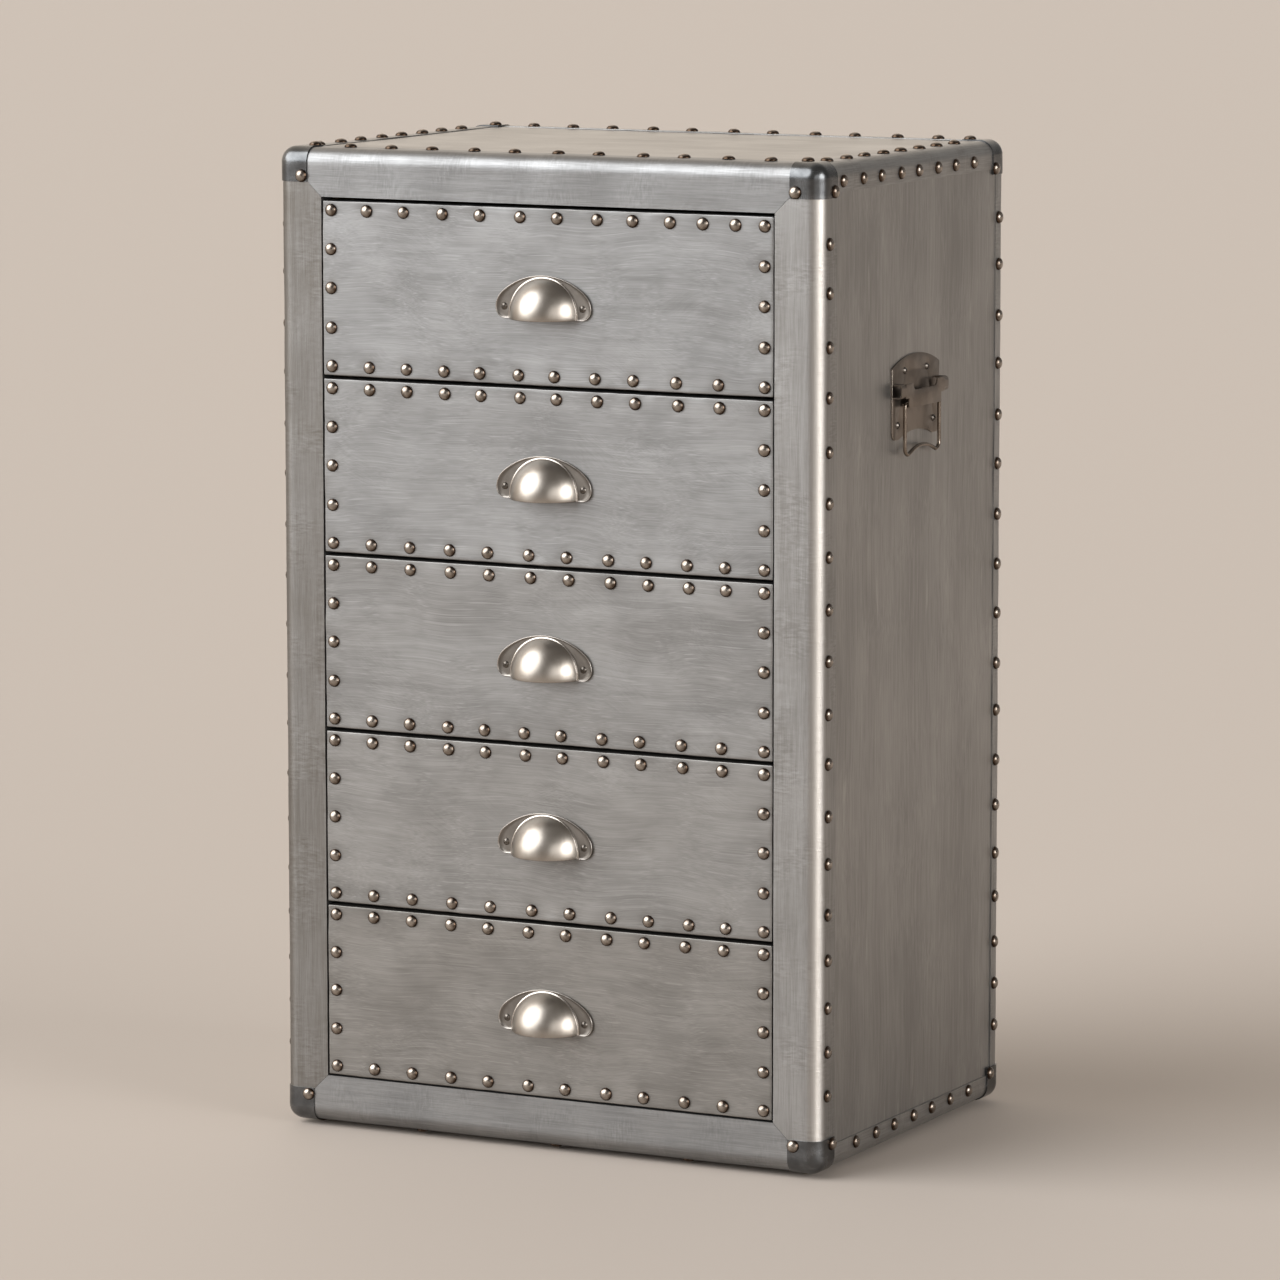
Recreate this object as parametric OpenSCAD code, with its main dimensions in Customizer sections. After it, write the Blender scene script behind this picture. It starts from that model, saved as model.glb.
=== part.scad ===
// Small drawer cabinet: a board carcass and five drawers clad in sheet aluminium.
// Folded strips cover the edges, polished caps cover the corners, and domed tacks hold both.
// The origin is on the floor, under the middle of the whole. The front faces -Y and +Z is up.

/* [Body] */
// Width over the edge strips
body_w = 500; // [440:1:600]
// Depth over the edge strips
body_d = 360; // [320:1:450]
// Height over the edge strips
body_h = 821; // [760:1:960]
// Height of the body above the floor
base_gap = 4.5; // [4:0.1:12]
// Radius of the outer edges and corners
edge_r = 12; // [8:0.5:12.5]
// Thickness of the side, top and bottom boards
board_t = 18; // [15:0.5:22]
// Thickness of the back board
back_t = 5; // [3:0.5:9]
// Depth of the recess that the back board sits in
back_inset = 8; // [3:0.5:14]

/* [Front frame] */
// Width of the uprights
stile_w = 41.3; // [36:0.1:48]
// Height of the top rail
top_rail_h = 40; // [34:0.5:48]
// Height of the bottom rail
bottom_rail_h = 40.5; // [34:0.5:48]
// Thickness of the frame's boards
frame_t = 18; // [15:0.5:22]

/* [Cladding] */
// Thickness of the sheet on the panels and drawers
skin_t = 0.6; // [0.4:0.1:1]
// Thickness of the edge strips
strip_t = 0.8; // [0.5:0.1:1.2]
// Reach of the front strips round the edge, onto the sides, top and base
front_wrap = 29.5; // [29:0.5:36]
// Reach of the rear strips round the edge, onto the sides, top and base
rear_wrap = 20; // [18:0.5:30]
// Reach of the upper side strips down the side and across the top
upper_flange = 24; // [22:0.5:32]
// Reach of the lower side strips up the side and across the base
lower_flange = 21.5; // [21:0.5:30]
// Gap at the strips' mitres
seam = 0.3; // [0.1:0.05:0.6]

/* [Corner caps] */
// Reach of a cap along each edge
cap_reach = 28; // [26:0.5:36]
// Thickness of a cap
cap_t = 1; // [0.7:0.1:1.6]
// Distance of a cap's tacks from the body's edges
cap_tack_inset = 23; // [20:0.5:25]

/* [Tacks] */
// Radius of a tack's head
tack_r = 5.5; // [4.5:0.1:6]
// Height of a tack's head
tack_h = 3.5; // [2.5:0.1:4]
// Radius of a tack's shank
tack_shank_r = 0.9; // [0.7:0.1:1.2]
// Length of a tack's shank
tack_shank = 9; // [7:0.5:11]
// Distance of the tack rows from the body's edges
tack_inset = 15.5; // [14:0.5:18]
// Distance of the rear tack rows from the back
rear_tack_inset = 14; // [13:0.5:16]
// Distance of the top's front and rear rows from the front and back
top_tack_inset = 24; // [20:0.5:28]
// Distance of the drawers' tacks from their edges
drawer_tack_inset = 7.7; // [6.5:0.1:12]
// Stray of a tack set by hand
tack_stray = 0.9; // [0:0.1:1.2]

/* [Drawers] */
// Gap above each drawer
drawer_gap = 3; // [2:0.1:5]
// Gap under the lowest drawer
foot_gap = 1.5; // [1:0.1:4]
// Gap at each side of a drawer's face
side_gap = 1.3; // [1:0.1:3]
// Thickness of a drawer's front board
front_t = 17.6; // [15:0.1:20]
// Radius of the folded edges of a drawer's sheet
fold_r = 1.6; // [1.2:0.1:3]
// Gap between the opening and each side of the drawer box
box_clear = 2.5; // [1.5:0.1:4]
// Thickness of the box's sides and back
box_t = 12; // [10:0.5:15]
// Distance from the foot of the face up to the box
box_low = 14; // [10:0.5:25]
// Distance from the top of the face down to the box
box_high = 20; // [12:0.5:40]
// Gap behind the box
box_rear_gap = 15; // [5:0.5:30]
// Thickness of the drawer's bottom
bottom_t = 4; // [3:0.5:6]
// Height of the bottom above the box's lower edge
bottom_up = 8; // [6:0.5:15]
// Depth to which the bottom enters its grooves
bottom_lap = 5; // [3:0.5:6]
// Clearance at the joints of the boards, and round the bottom in its grooves
fit_clear = 0.1; // [0.05:0.05:0.3]
// Height of a runner
runner_h = 12; // [8:0.5:16]
// Depth of a runner's groove in the box's side
groove_d = 6; // [4:0.5:7]
// Running clearance between a runner and its groove
slide_clear = 0.3; // [0.2:0.05:0.8]
// Gap between the front frame and the end of a runner
runner_gap = 1.2; // [0.8:0.1:5]

/* [Cup pulls] */
// Width of the flange
pull_w = 88; // [80:1:100]
// Height of the flange above its widest line
pull_up = 27.4; // [24:0.1:32]
// Height of the flange below its widest line, and radius of its lower corners
pull_down = 8.6; // [7:0.1:12]
// Radius of the flange's upper ends
pull_end_r = 18; // [14:0.5:20]
// Thickness of the flange
pull_t = 1.4; // [1:0.1:2]
// Width of the flange's rim
rim_w = 1.1; // [0.8:0.1:2]
// Height of the rim above the flange
rim_h = 0.8; // [0.4:0.1:1.5]
// Half width of the cup where it meets the drawer
cup_half = 31.5; // [28:0.1:33]
// Reach of the cup in front of the drawer
cup_reach = 24; // [18:0.5:27]
// Straight drop at the foot of the cup
cup_drop = 3; // [1:0.5:5]
// Thickness of the cup's wall
cup_t = 1.4; // [1:0.1:2]
// Distance of each screw from the middle
pull_screw_x = 36; // [34.5:0.1:37]
// Height of the screws above the foot of the flange
pull_screw_up = 9.8; // [8:0.1:12]

/* [Drop handles] */
// Height of the hinge line above the floor
handle_z = 621; // [560:1:660]
// Width of the back plate
plate_w = 92; // [86:1:100]
// Height of the plate's corners above the hinge line
plate_shoulder = 29.5; // [28:0.5:34]
// Height of the plate's crown above the hinge line
plate_crown = 39.5; // [37:0.5:45]
// Depth of the plate's lugs below the hinge line
plate_foot = 29.4; // [26:0.1:36]
// Width of each lug
lug_w = 13; // [12:0.5:16]
// Rise of the arch between the lugs
arch_rise = 5.8; // [4:0.1:8]
// Thickness of the plate
plate_t = 1.2; // [1:0.1:2]
// Distance from the side to the face of the strap
strap_reach = 10; // [9.5:0.1:13]
// Thickness of the strap
strap_t = 1.2; // [1:0.1:1.6]
// Width of the strap
strap_w = 91; // [88:1:92]
// Height of the strap's shoulders above the hinge line
strap_low = 5; // [4:0.5:7]
// Height of the strap's ends
strap_h = 12; // [10:0.5:14]
// Half width of the dip in the strap's top edge
dip_half = 24; // [18:0.5:30]
// Depth of the dip
dip_d = 6; // [3:0.5:6]
// Length of the knuckle at each end of the strap
knuckle_l = 8; // [6:0.5:9]
// Radius of the knuckles' front edges
knuckle_r = 3.5; // [2:0.1:4]
// Clearance between the tongue and the handle's legs
tongue_clear = 0.7; // [0.4:0.1:1.5]
// Radius of the handle's wire
wire_r = 1.6; // [1.2:0.1:2]
// Clearance round the wire where it turns
wire_clear = 0.3; // [0.2:0.05:0.5]
// Gap between the wire's two ends
wire_gap = 0.4; // [0.2:0.1:1]
// Distance of each leg from the middle
leg_half = 33.5; // [30:0.5:34]
// Drop from the hinge line to the lowest point of the wire's middle line
bail_drop = 42; // [36:0.5:50]
// Radius of the handle's upper bends
bail_top_r = 2.5; // [2.2:0.1:4]
// Radius of the handle's lower bends
bail_low_r = 6; // [4:0.5:8]
// Rise of the bow in the handle's grip
bail_rise = 6; // [3:0.5:8]
// Distance between the upper screws
upper_screws = 43; // [36:1:48]
// Distance between the lower screws
lower_screws = 70; // [66:1:76]
// Height of the upper screws above the hinge line
upper_screw_z = 26.5; // [24:0.5:28]
// Depth of the lower screws below the hinge line
lower_screw_z = 17.5; // [14:0.5:20]

/* [Screws and glides] */
// Radius of a screw's head
screw_r = 3; // [2.5:0.1:3.2]
// Height of a screw's head
screw_h = 1.7; // [1.2:0.1:2]
// Radius of a screw's shank
screw_shank_r = 1.6; // [1.2:0.1:2]
// Length of a screw's shank
screw_shank = 14; // [10:0.5:15]
// Clearance round a shank in its hole
hole_clear = 0.2; // [0.1:0.05:0.4]
// Radius of a glide
glide_r = 11; // [8:0.5:14]
// Distance of the glides from the body's edges
glide_inset = 55; // [48:1:80]

/* [Hidden] */
$fn = 48;

// Colours
aluminium = [0.62, 0.62, 0.61];
trim_grey = [0.7, 0.7, 0.7];
polished_steel = [0.38, 0.4, 0.43];
pewter = [0.5, 0.46, 0.42];
satin_nickel = [0.72, 0.69, 0.64];
warm_nickel = [0.5, 0.45, 0.4];
board_brown = [0.62, 0.5, 0.36];
dark_board = [0.16, 0.15, 0.15];

// How far a cut runs past the face that it opens
cut = 1;

// The body's outer faces, over the strips
x_half = body_w / 2;
y_front = cup_reach - (body_d + cup_reach + cap_t + tack_h) / 2;
y_back = y_front + body_d;
y_mid = (y_front + y_back) / 2;
z_low = base_gap;
z_top = base_gap + body_h;
z_mid = (z_low + z_top) / 2;

// The boards inside the cladding. The sides and top have a skin and strips, the rest strips.
clad_t = strip_t + skin_t;
board_x = x_half - clad_t;
board_front = y_front + strip_t;
board_back = y_back - strip_t;
board_low = z_low + strip_t;
board_top = z_top - clad_t;
inner_x = board_x - board_t;
frame_back = board_front + frame_t;
inside_back = board_back - back_inset - back_t;

// The opening in the front frame
open_x = x_half - stile_w;
open_low = z_low + bottom_rail_h;
open_top = z_top - top_rail_h;

// The drawers, counted from the top
drawer_count = 5;
face_w = 2 * (open_x - side_gap);
face_h = (open_top - open_low - foot_gap) / drawer_count - drawer_gap;
function drawer_z(n) = open_top - (n - 1) * (face_h + drawer_gap) - drawer_gap - face_h / 2;
face_back = y_front + skin_t + front_t;
box_x = open_x - box_clear;
box_back = inside_back - box_rear_gap;
bottom_z = -face_h / 2 + box_low + bottom_up;
box_top = face_h / 2 - box_high;

// The rows of tacks on each drawer: how many, and how far the row drifts where it was set by eye
top_row = [13, 12, 12, 12, 12];
top_drift = [15, -7, 5, -2, 1];
foot_row = 12;
foot_drift = [-9, 3, -3.5, 5, 0];
column_tacks = 3;

// The rows of tacks on the body: how many, and the drift of the long columns
side_column = 18;
side_drift = -14;
side_top_row = 8;
side_foot_row = 7;
top_front_row = 11;
top_side_row = 8;
hidden_row = 3;
hidden_column = 5;
// Distances of the first and last tack of a row from the body's front, back or side
side_top_ends = [41, 66];
side_foot_ends = [71, 66];
top_side_ends = [43, 72];
top_front_end = 56;
hidden_end = 125;

// The places of a row's tacks: even steps, drawn aside most at two thirds, with a small stray
function row(count, from, to, drift = 0) = [
    for (i = [0 : count - 1])
        let (t = i / (count - 1))
            from + (to - from) * t + drift * 6.75 * t * t * (1 - t) + tack_stray * sin(i * 197 + from)
];
// The places strictly between two ends
function between(count, from, to, drift = 0) =
    let (step = (to - from) / (count + 1)) row(count, from + step, to - step, drift);

// Puts the children's x axis along u, their y axis along v, and their z axis along cross(u, v)
module place(at, u, v) {
    w = cross(u, v);
    multmatrix([
        [u[0], v[0], w[0], at[0]],
        [u[1], v[1], w[1], at[1]],
        [u[2], v[2], w[2], at[2]]
    ]) children();
}

// A box between two corners
module box(low, high) translate(low) cube(high - low);

// A block between two corners with every edge and corner rounded
module rounded_block(low, high, r) {
    box(low + [0, r, r], high - [0, r, r]);
    box(low + [r, 0, r], high - [r, 0, r]);
    box(low + [r, r, 0], high - [r, r, 0]);
    inner = high - low - [2, 2, 2] * r;
    for (x = [low[0] + r, high[0] - r], y = [low[1] + r, high[1] - r]) {
        translate([x, y, low[2] + r]) cylinder(r = r, h = inner[2]);
        for (z = [low[2] + r, high[2] - r]) translate([x, y, z]) sphere(r);
    }
    for (x = [low[0] + r, high[0] - r], z = [low[2] + r, high[2] - r])
        translate([x, low[1] + r, z]) rotate([-90, 0, 0]) cylinder(r = r, h = inner[1]);
    for (y = [low[1] + r, high[1] - r], z = [low[2] + r, high[2] - r])
        translate([low[0] + r, y, z]) rotate([0, 90, 0]) cylinder(r = r, h = inner[0]);
}

// What the boards may fill: each board is cut from this, so the outer edges are rounded in one go
module carcass()
    rounded_block([-board_x, board_front, board_low], [board_x, board_back, board_top], edge_r - strip_t);

// Boards of the carcass

module side_panel(side) color(board_brown) intersection() {
    carcass();
    mirror([side > 0 ? 0 : 1, 0, 0])
        box([inner_x, frame_back, z_low - cut], [x_half, y_back, z_top + cut]);
}

module top_panel() color(board_brown) intersection() {
    carcass();
    box([-inner_x, frame_back, board_top - board_t], [inner_x, y_back, z_top + cut]);
}

module bottom_panel() color(board_brown) intersection() {
    carcass();
    box([-inner_x, frame_back, z_low - cut], [inner_x, y_back, board_low + board_t]);
}

module back_panel() color(dark_board)
    box([-inner_x, inside_back, board_low + board_t], [inner_x, inside_back + back_t, board_top - board_t]);

// Two uprights with the two rails between them
module front_frame() color(board_brown) {
    for (side = [0, 1]) mirror([side, 0, 0]) intersection() {
        carcass();
        box([open_x, y_front, z_low - cut], [x_half, frame_back, z_top + cut]);
    }
    rail_x = open_x - fit_clear;
    intersection() {
        carcass();
        box([-rail_x, y_front, open_top], [rail_x, frame_back, z_top + cut]);
    }
    intersection() {
        carcass();
        box([-rail_x, y_front, z_low - cut], [rail_x, frame_back, open_low]);
    }
}

// Bars on the side panels, one in the groove of each drawer side
module drawer_runners() color(board_brown)
    for (n = [1 : drawer_count], side = [0, 1])
        mirror([side, 0, 0]) box(
            [box_x - groove_d + slide_clear, frame_back + runner_gap, drawer_z(n) - runner_h / 2],
            [inner_x, inside_back, drawer_z(n) + runner_h / 2]
        );

// Sheet and strips

module panel_skins() color(aluminium) {
    for (side = [0, 1]) mirror([side, 0, 0]) box(
        [board_x, y_front + edge_r, z_low + edge_r],
        [board_x + skin_t, y_back - edge_r, z_top - edge_r]
    );
    box(
        [-x_half + edge_r, y_front + edge_r, board_top],
        [x_half - edge_r, y_back - edge_r, board_top + skin_t]
    );
}

// The outer corner of a body section, inset by a sheet's thickness, with its two faces a and b long
module corner_section(inset, a, b) {
    r = edge_r - inset;
    intersection() {
        translate([inset, inset]) square([a - inset, b - inset]);
        union() {
            translate([edge_r, edge_r]) circle(r);
            translate([edge_r, inset]) square([a, b]);
            translate([inset, edge_r]) square([a, b]);
        }
    }
}

// A folded strip whose flanges reach a and b from the outer corner
module strip(length, a, b) linear_extrude(length, center = true) difference() {
    corner_section(0, a, b);
    corner_section(strip_t, a + cut, b + cut);
}

// The four mitred places round a rectangle: 0 is the foot, then round by +X, top and -X
module mitre(part, inner, depth) {
    outer = [[-x_half, z_low], [x_half, z_low], [x_half, z_top], [-x_half, z_top]];
    next = (part + 1) % 4;
    draw_in = [[1, 0], [0, 1], [-1, 0], [0, -1]][part] * seam / 2;
    past = 1.1;
    rotate([90, 0, 0]) linear_extrude(depth, center = true) polygon([
        inner[part] + draw_in,
        inner[next] - draw_in,
        inner[next] - draw_in + past * (outer[next] - inner[next]),
        inner[part] + draw_in + past * (outer[part] - inner[part])
    ]);
}

// One strip of the frame that lies round the front or the back. It ends where the corner's round starts.
module framing_strip(part, y, inward, wrap, face, inner) {
    across = 2 * (x_half - edge_r);
    upright = body_h - 2 * edge_r;
    at = [[0, z_low], [x_half, z_mid], [0, z_top], [-x_half, z_mid]][part];
    face_way = [[0, 0, 1], [-1, 0, 0], [0, 0, -1], [1, 0, 0]][part];
    intersection() {
        place([at[0], y, at[1]], [0, inward, 0], face_way)
            strip(part % 2 == 0 ? across : upright, wrap, face);
        translate([0, y, 0]) mitre(part, inner, 3 * wrap);
    }
}

module front_trim(part, face) color(trim_grey) framing_strip(
    part, y_front, 1, front_wrap, face,
    [[-open_x, open_low], [open_x, open_low], [open_x, open_top], [-open_x, open_top]]
);

// The rear strips' inner edges line up with the inner faces of the boards that they cover
module rear_trim() color(trim_grey) {
    face = board_t + clad_t;
    inner_z = [z_low + face, z_top - face];
    for (part = [0 : 3]) framing_strip(
        part, y_back, -1, rear_wrap, face,
        [[-inner_x, inner_z[0]], [inner_x, inner_z[0]], [inner_x, inner_z[1]], [-inner_x, inner_z[1]]]
    );
}

// The side edges' strips fill the stretch between the front and the rear strips
module side_trim() color(trim_grey) {
    from = y_front + front_wrap;
    to = y_back - rear_wrap;
    for (side = [0, 1]) mirror([side, 0, 0]) {
        place([x_half, (from + to) / 2, z_top], [0, 0, -1], [-1, 0, 0])
            strip(to - from, upper_flange, upper_flange);
        place([x_half, (from + to) / 2, z_low], [0, 0, 1], [-1, 0, 0])
            strip(to - from, lower_flange, lower_flange);
    }
}

// A rounded corner of the body grown by grow, as far as reach. It points away from +X, +Y and +Z.
module corner_block(grow, reach) intersection() {
    translate([-grow, -grow, -grow]) cube(reach + grow);
    translate([edge_r, edge_r, edge_r]) {
        r = edge_r + grow;
        sphere(r);
        cylinder(r = r, h = reach);
        rotate([-90, 0, 0]) cylinder(r = r, h = reach);
        rotate([0, 90, 0]) cylinder(r = r, h = reach);
        translate([-r, 0, 0]) cube(reach + r);
        translate([0, -r, 0]) cube(reach + r);
        translate([0, 0, -r]) cube(reach + r);
    }
}

// Puts the children at each corner of the body, with their axes pointing inwards
module at_corners()
    for (x = [0, 1], y = [0, 1], z = [0, 1])
        translate([x == 0 ? -x_half : x_half, y == 0 ? y_front : y_back, z == 0 ? z_low : z_top])
            mirror([x, 0, 0]) mirror([0, y, 0]) mirror([0, 0, z]) children();

module corner_caps() color(polished_steel) at_corners() difference() {
    corner_block(cap_t, cap_reach);
    corner_block(0, cap_reach + cut);
}

// Tacks

// A domed head that sits on z = 0, with a pointed shank below it
module tack() rotate_extrude($fn = 24) {
    dome_r = (tack_r * tack_r + tack_h * tack_h) / (2 * tack_h);
    intersection() {
        translate([0, tack_h - dome_r]) circle(dome_r, $fn = 48);
        square([tack_r, tack_h]);
    }
    polygon([
        [0, 0],
        [tack_shank_r, 0],
        [tack_shank_r, 2 * tack_shank_r - tack_shank],
        [0, -tack_shank]
    ]);
}

// Turns that point a tack's head outwards on each face
out_front = [90, 0, 0];
out_back = [-90, 0, 0];
out_right = [0, 90, 0];
out_top = [0, 0, 0];
out_foot = [180, 0, 0];

module tacks(points, turn) color(pewter) for (p = points) translate(p) rotate(turn) tack();

// One tack near the inner corner of each of a cap's three faces
module cap_tacks() at_corners() color(pewter) {
    in = cap_tack_inset;
    translate([in, in, -cap_t]) rotate(out_foot) tack();
    translate([in, -cap_t, in]) rotate(out_front) tack();
    translate([-cap_t, in, in]) rotate([0, -90, 0]) tack();
}

module side_tacks() for (side = [0, 1]) mirror([side, 0, 0]) {
    column = between(side_column, z_low + cap_tack_inset, z_top - cap_tack_inset, -side_drift);
    tacks([for (z = column) [x_half, y_front + tack_inset, z_low + z_top - z]], out_right);
    tacks([for (z = column) [x_half, y_back - rear_tack_inset, z_low + z_top - z]], out_right);
    tacks([
        for (y = row(side_top_row, y_front + side_top_ends[0], y_back - side_top_ends[1]))
            [x_half, y, z_top - tack_inset]
    ], out_right);
    tacks([
        for (y = row(side_foot_row, y_front + side_foot_ends[0], y_back - side_foot_ends[1]))
            [x_half, y, z_low + tack_inset]
    ], out_right);
}

module top_tacks() {
    across = row(top_front_row, -x_half + top_front_end, x_half - top_front_end);
    along = row(top_side_row, y_front + top_side_ends[0], y_back - top_side_ends[1]);
    for (y = [y_front + top_tack_inset, y_back - rear_tack_inset])
        tacks([for (x = across) [x, y, z_top]], out_top);
    for (x = [-x_half + tack_inset, x_half - tack_inset])
        tacks([for (y = along) [x, y, z_top]], out_top);
}

// Wide-spaced tacks where nobody looks: under the base and on the back
module hidden_tacks() {
    across = row(hidden_row, -x_half + hidden_end, x_half - hidden_end);
    upright = between(hidden_column, z_low + cap_tack_inset, z_top - cap_tack_inset);
    edge = (board_t + clad_t + edge_r) / 2;
    for (y = [y_front + tack_inset, y_back - rear_tack_inset])
        tacks([for (x = across) [x, y, z_low]], out_foot);
    for (x = [-x_half + edge, x_half - edge])
        tacks([for (z = upright) [x, y_back, z]], out_back);
    for (z = [z_low + edge, z_top - edge])
        tacks([for (x = across) [x, y_back, z]], out_back);
}

// Screws and glides

// A screw whose head sits on z = 0, with a cross slot
module screw() {
    slot_w = screw_r / 5;
    slot_l = screw_r * 1.1;
    difference() {
        rotate_extrude() {
            head_r = (screw_r * screw_r + screw_h * screw_h) / (2 * screw_h);
            intersection() {
                translate([0, screw_h - head_r]) circle(head_r);
                square([screw_r, screw_h]);
            }
            polygon([
                [0, 0],
                [screw_shank_r, 0],
                [screw_shank_r, 2 * screw_shank_r - screw_shank],
                [0, -screw_shank]
            ]);
        }
        for (turn = [45, 135]) rotate([0, 0, turn])
            translate([-slot_l / 2, -slot_w / 2, screw_h / 2]) cube([slot_l, slot_w, screw_h]);
    }
}

module glides() color(dark_board)
    for (x = [-x_half + glide_inset, x_half - glide_inset], y = [y_front + glide_inset, y_back - glide_inset])
        translate([x, y, 0]) cylinder(r1 = glide_r - 2, r2 = glide_r, h = board_low);

// Drop handles. The children lie in a side's plane: x along the depth, y up from the hinge line,
// z out from the side's sheet.
module on_side(side) mirror([side > 0 ? 0 : 1, 0, 0])
    place([x_half - strip_t, y_mid, handle_z], [0, 1, 0], [0, 0, 1]) children();

handle_screw_places = [
    for (s = [-1, 1]) each [
        [s * upper_screws / 2, upper_screw_z],
        [s * lower_screws / 2, -lower_screw_z]
    ]
];

// A plate with a domed crown, and two round lugs with a low arch between them
module plate_outline() {
    half = plate_w / 2;
    lug_r = lug_w / 2;
    crown = plate_crown - plate_shoulder;
    crown_r = (half * half + crown * crown) / (2 * crown);
    arch_half = half - lug_w;
    arch_r = (arch_half * arch_half + arch_rise * arch_rise) / (2 * arch_rise);
    difference() {
        intersection() {
            translate([0, plate_crown - crown_r]) circle(crown_r, $fn = 180);
            union() {
                translate([-half, lug_r - plate_foot]) square([plate_w, plate_crown + plate_foot]);
                for (s = [-1, 1]) translate([s * (half - lug_r), lug_r - plate_foot]) circle(lug_r);
                translate([lug_r - half, -plate_foot]) square([plate_w - lug_w, lug_w]);
            }
        }
        translate([0, arch_rise - plate_foot - arch_r]) circle(arch_r, $fn = 180);
    }
}

module handle_plates() color(warm_nickel) for (side = [-1, 1]) on_side(side) difference() {
    linear_extrude(plate_t) plate_outline();
    for (p = handle_screw_places)
        translate([p[0], p[1], -cut]) cylinder(r = screw_shank_r + hole_clear, h = plate_t + 2 * cut);
}

// The strap's knuckle in section: three walls round a hollow that opens at the plate
module knuckle_section(inset) {
    r = knuckle_r - inset;
    out = strap_reach - plate_t - inset;
    for (y = [inset + r, strap_h - inset - r]) translate([out - r, y]) circle(r);
    translate([-inset, inset]) square([out - r + inset, strap_h - 2 * inset]);
    translate([0, inset + r]) square([out, strap_h - 2 * (inset + r)]);
}

// A strap with a dipped top edge and a tongue, whose lower end hooks round the handle's hinge bar
module handle_straps() color(warm_nickel) for (side = [-1, 1]) on_side(side) {
    sheet_half = strap_w / 2 - knuckle_l;
    tongue_half = leg_half - wire_r - tongue_clear;
    hook = wire_r + wire_clear;
    inside = strap_reach - strap_t;
    translate([0, 0, inside]) linear_extrude(strap_t) difference() {
        union() {
            translate([-sheet_half, strap_low]) square([2 * sheet_half, strap_h]);
            translate([-tongue_half, -hook - strap_t]) square([2 * tongue_half, strap_low + hook + 2 * strap_t]);
        }
        translate([0, strap_low + strap_h]) {
            for (s = [-1, 1]) translate([s * (dip_half - dip_d), 0]) circle(dip_d);
            translate([dip_d - dip_half, -dip_d]) square([2 * (dip_half - dip_d), 2 * dip_d]);
        }
    }
    // the hook under and behind the bar
    translate([-tongue_half, -hook - strap_t, inside - 2 * hook - strap_t])
        cube([2 * tongue_half, strap_t, 2 * hook + strap_t + strap_t / 2]);
    translate([-tongue_half, -hook - strap_t, inside - 2 * hook - strap_t])
        cube([2 * tongue_half, hook + strap_t, strap_t]);
    // the knuckles
    for (s = [0, 1]) mirror([s, 0, 0])
        place([sheet_half, strap_low, plate_t], [0, 0, 1], [0, 1, 0]) mirror([0, 0, 1])
            linear_extrude(knuckle_l) difference() {
                knuckle_section(0);
                knuckle_section(strap_t);
            }
}

// A bend of the wire: it starts at [r, 0] and turns by the given angle
module bend(r, angle) rotate_extrude(angle = angle) translate([r, 0]) circle(wire_r, $fn = 24);

// A wire loop whose ends meet in the middle of its hinge bar. Its grip bows upwards.
module bail(side) color(warm_nickel) on_side(side) {
    leg_low = bail_drop - bail_low_r;
    reach = leg_half - bail_low_r;
    span = (reach * reach + bail_rise * bail_rise) / (2 * bail_rise);
    lean = asin(reach / span);
    bow_r = span - bail_low_r;
    bow_y = bail_rise - bail_drop - bow_r;
    bar_half = leg_half - bail_top_r;
    // a brazed core joins each lower bend to the bow across a hairline joint
    core_r = wire_r * 0.85;
    short = wire_gap / 10;
    low_turn = 90 + lean - short / bail_low_r * 180 / PI;
    bow_turn = lean - short / bow_r * 180 / PI;
    translate([0, 0, strap_reach - strap_t - wire_clear - wire_r]) {
        for (half_turn = [0, 180]) rotate([0, half_turn, 0]) {
            translate([wire_gap / 2, 0, 0]) rotate([0, 90, 0])
                cylinder(r = wire_r, h = bar_half - wire_gap / 2, $fn = 24);
            translate([bar_half, -bail_top_r, 0]) bend(bail_top_r, 90);
            translate([leg_half, -leg_low, 0]) rotate([-90, 0, 0])
                cylinder(r = wire_r, h = leg_low - bail_top_r, $fn = 24);
            translate([reach, -leg_low, 0]) mirror([0, 1, 0]) bend(bail_low_r, low_turn);
            translate([bow_r * sin(lean), bow_y + bow_r * cos(lean), 0]) sphere(core_r);
        }
        translate([0, bow_y, 0]) rotate([0, 0, 90 - bow_turn]) bend(bow_r, 2 * bow_turn);
    }
}

module handle_screws() color(pewter) for (side = [-1, 1]) on_side(side)
    for (p = handle_screw_places) translate([p[0], p[1], plate_t]) screw();

// Drawers. The children lie in the plane of drawer n's face: x across, y up from its middle,
// z out to the front.
module on_face(n) place([0, y_front, drawer_z(n)], [1, 0, 0], [0, 0, 1]) children();

// A rectangle from -depth to 0 whose two outer corners are rounded
module edge_section(width, depth, r) {
    translate([-width / 2, -depth]) square([width, depth - r]);
    translate([r - width / 2, -depth]) square([width - 2 * r, depth]);
    for (s = [-1, 1]) translate([s * (width / 2 - r), -r]) circle(r);
}

// The drawer's front inset by a sheet's thickness, as deep as depth, with its front edges rounded
module face_block(inset, depth) {
    w = face_w - 2 * inset;
    h = face_h - 2 * inset;
    r = fold_r - inset;
    translate([0, 0, -inset]) intersection() {
        place([0, 0, 0], [1, 0, 0], [0, 0, 1]) linear_extrude(h, center = true)
            edge_section(w, depth - inset, r);
        place([0, 0, 0], [0, 1, 0], [0, 0, 1]) linear_extrude(w, center = true)
            edge_section(h, depth - inset, r);
    }
}

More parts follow.
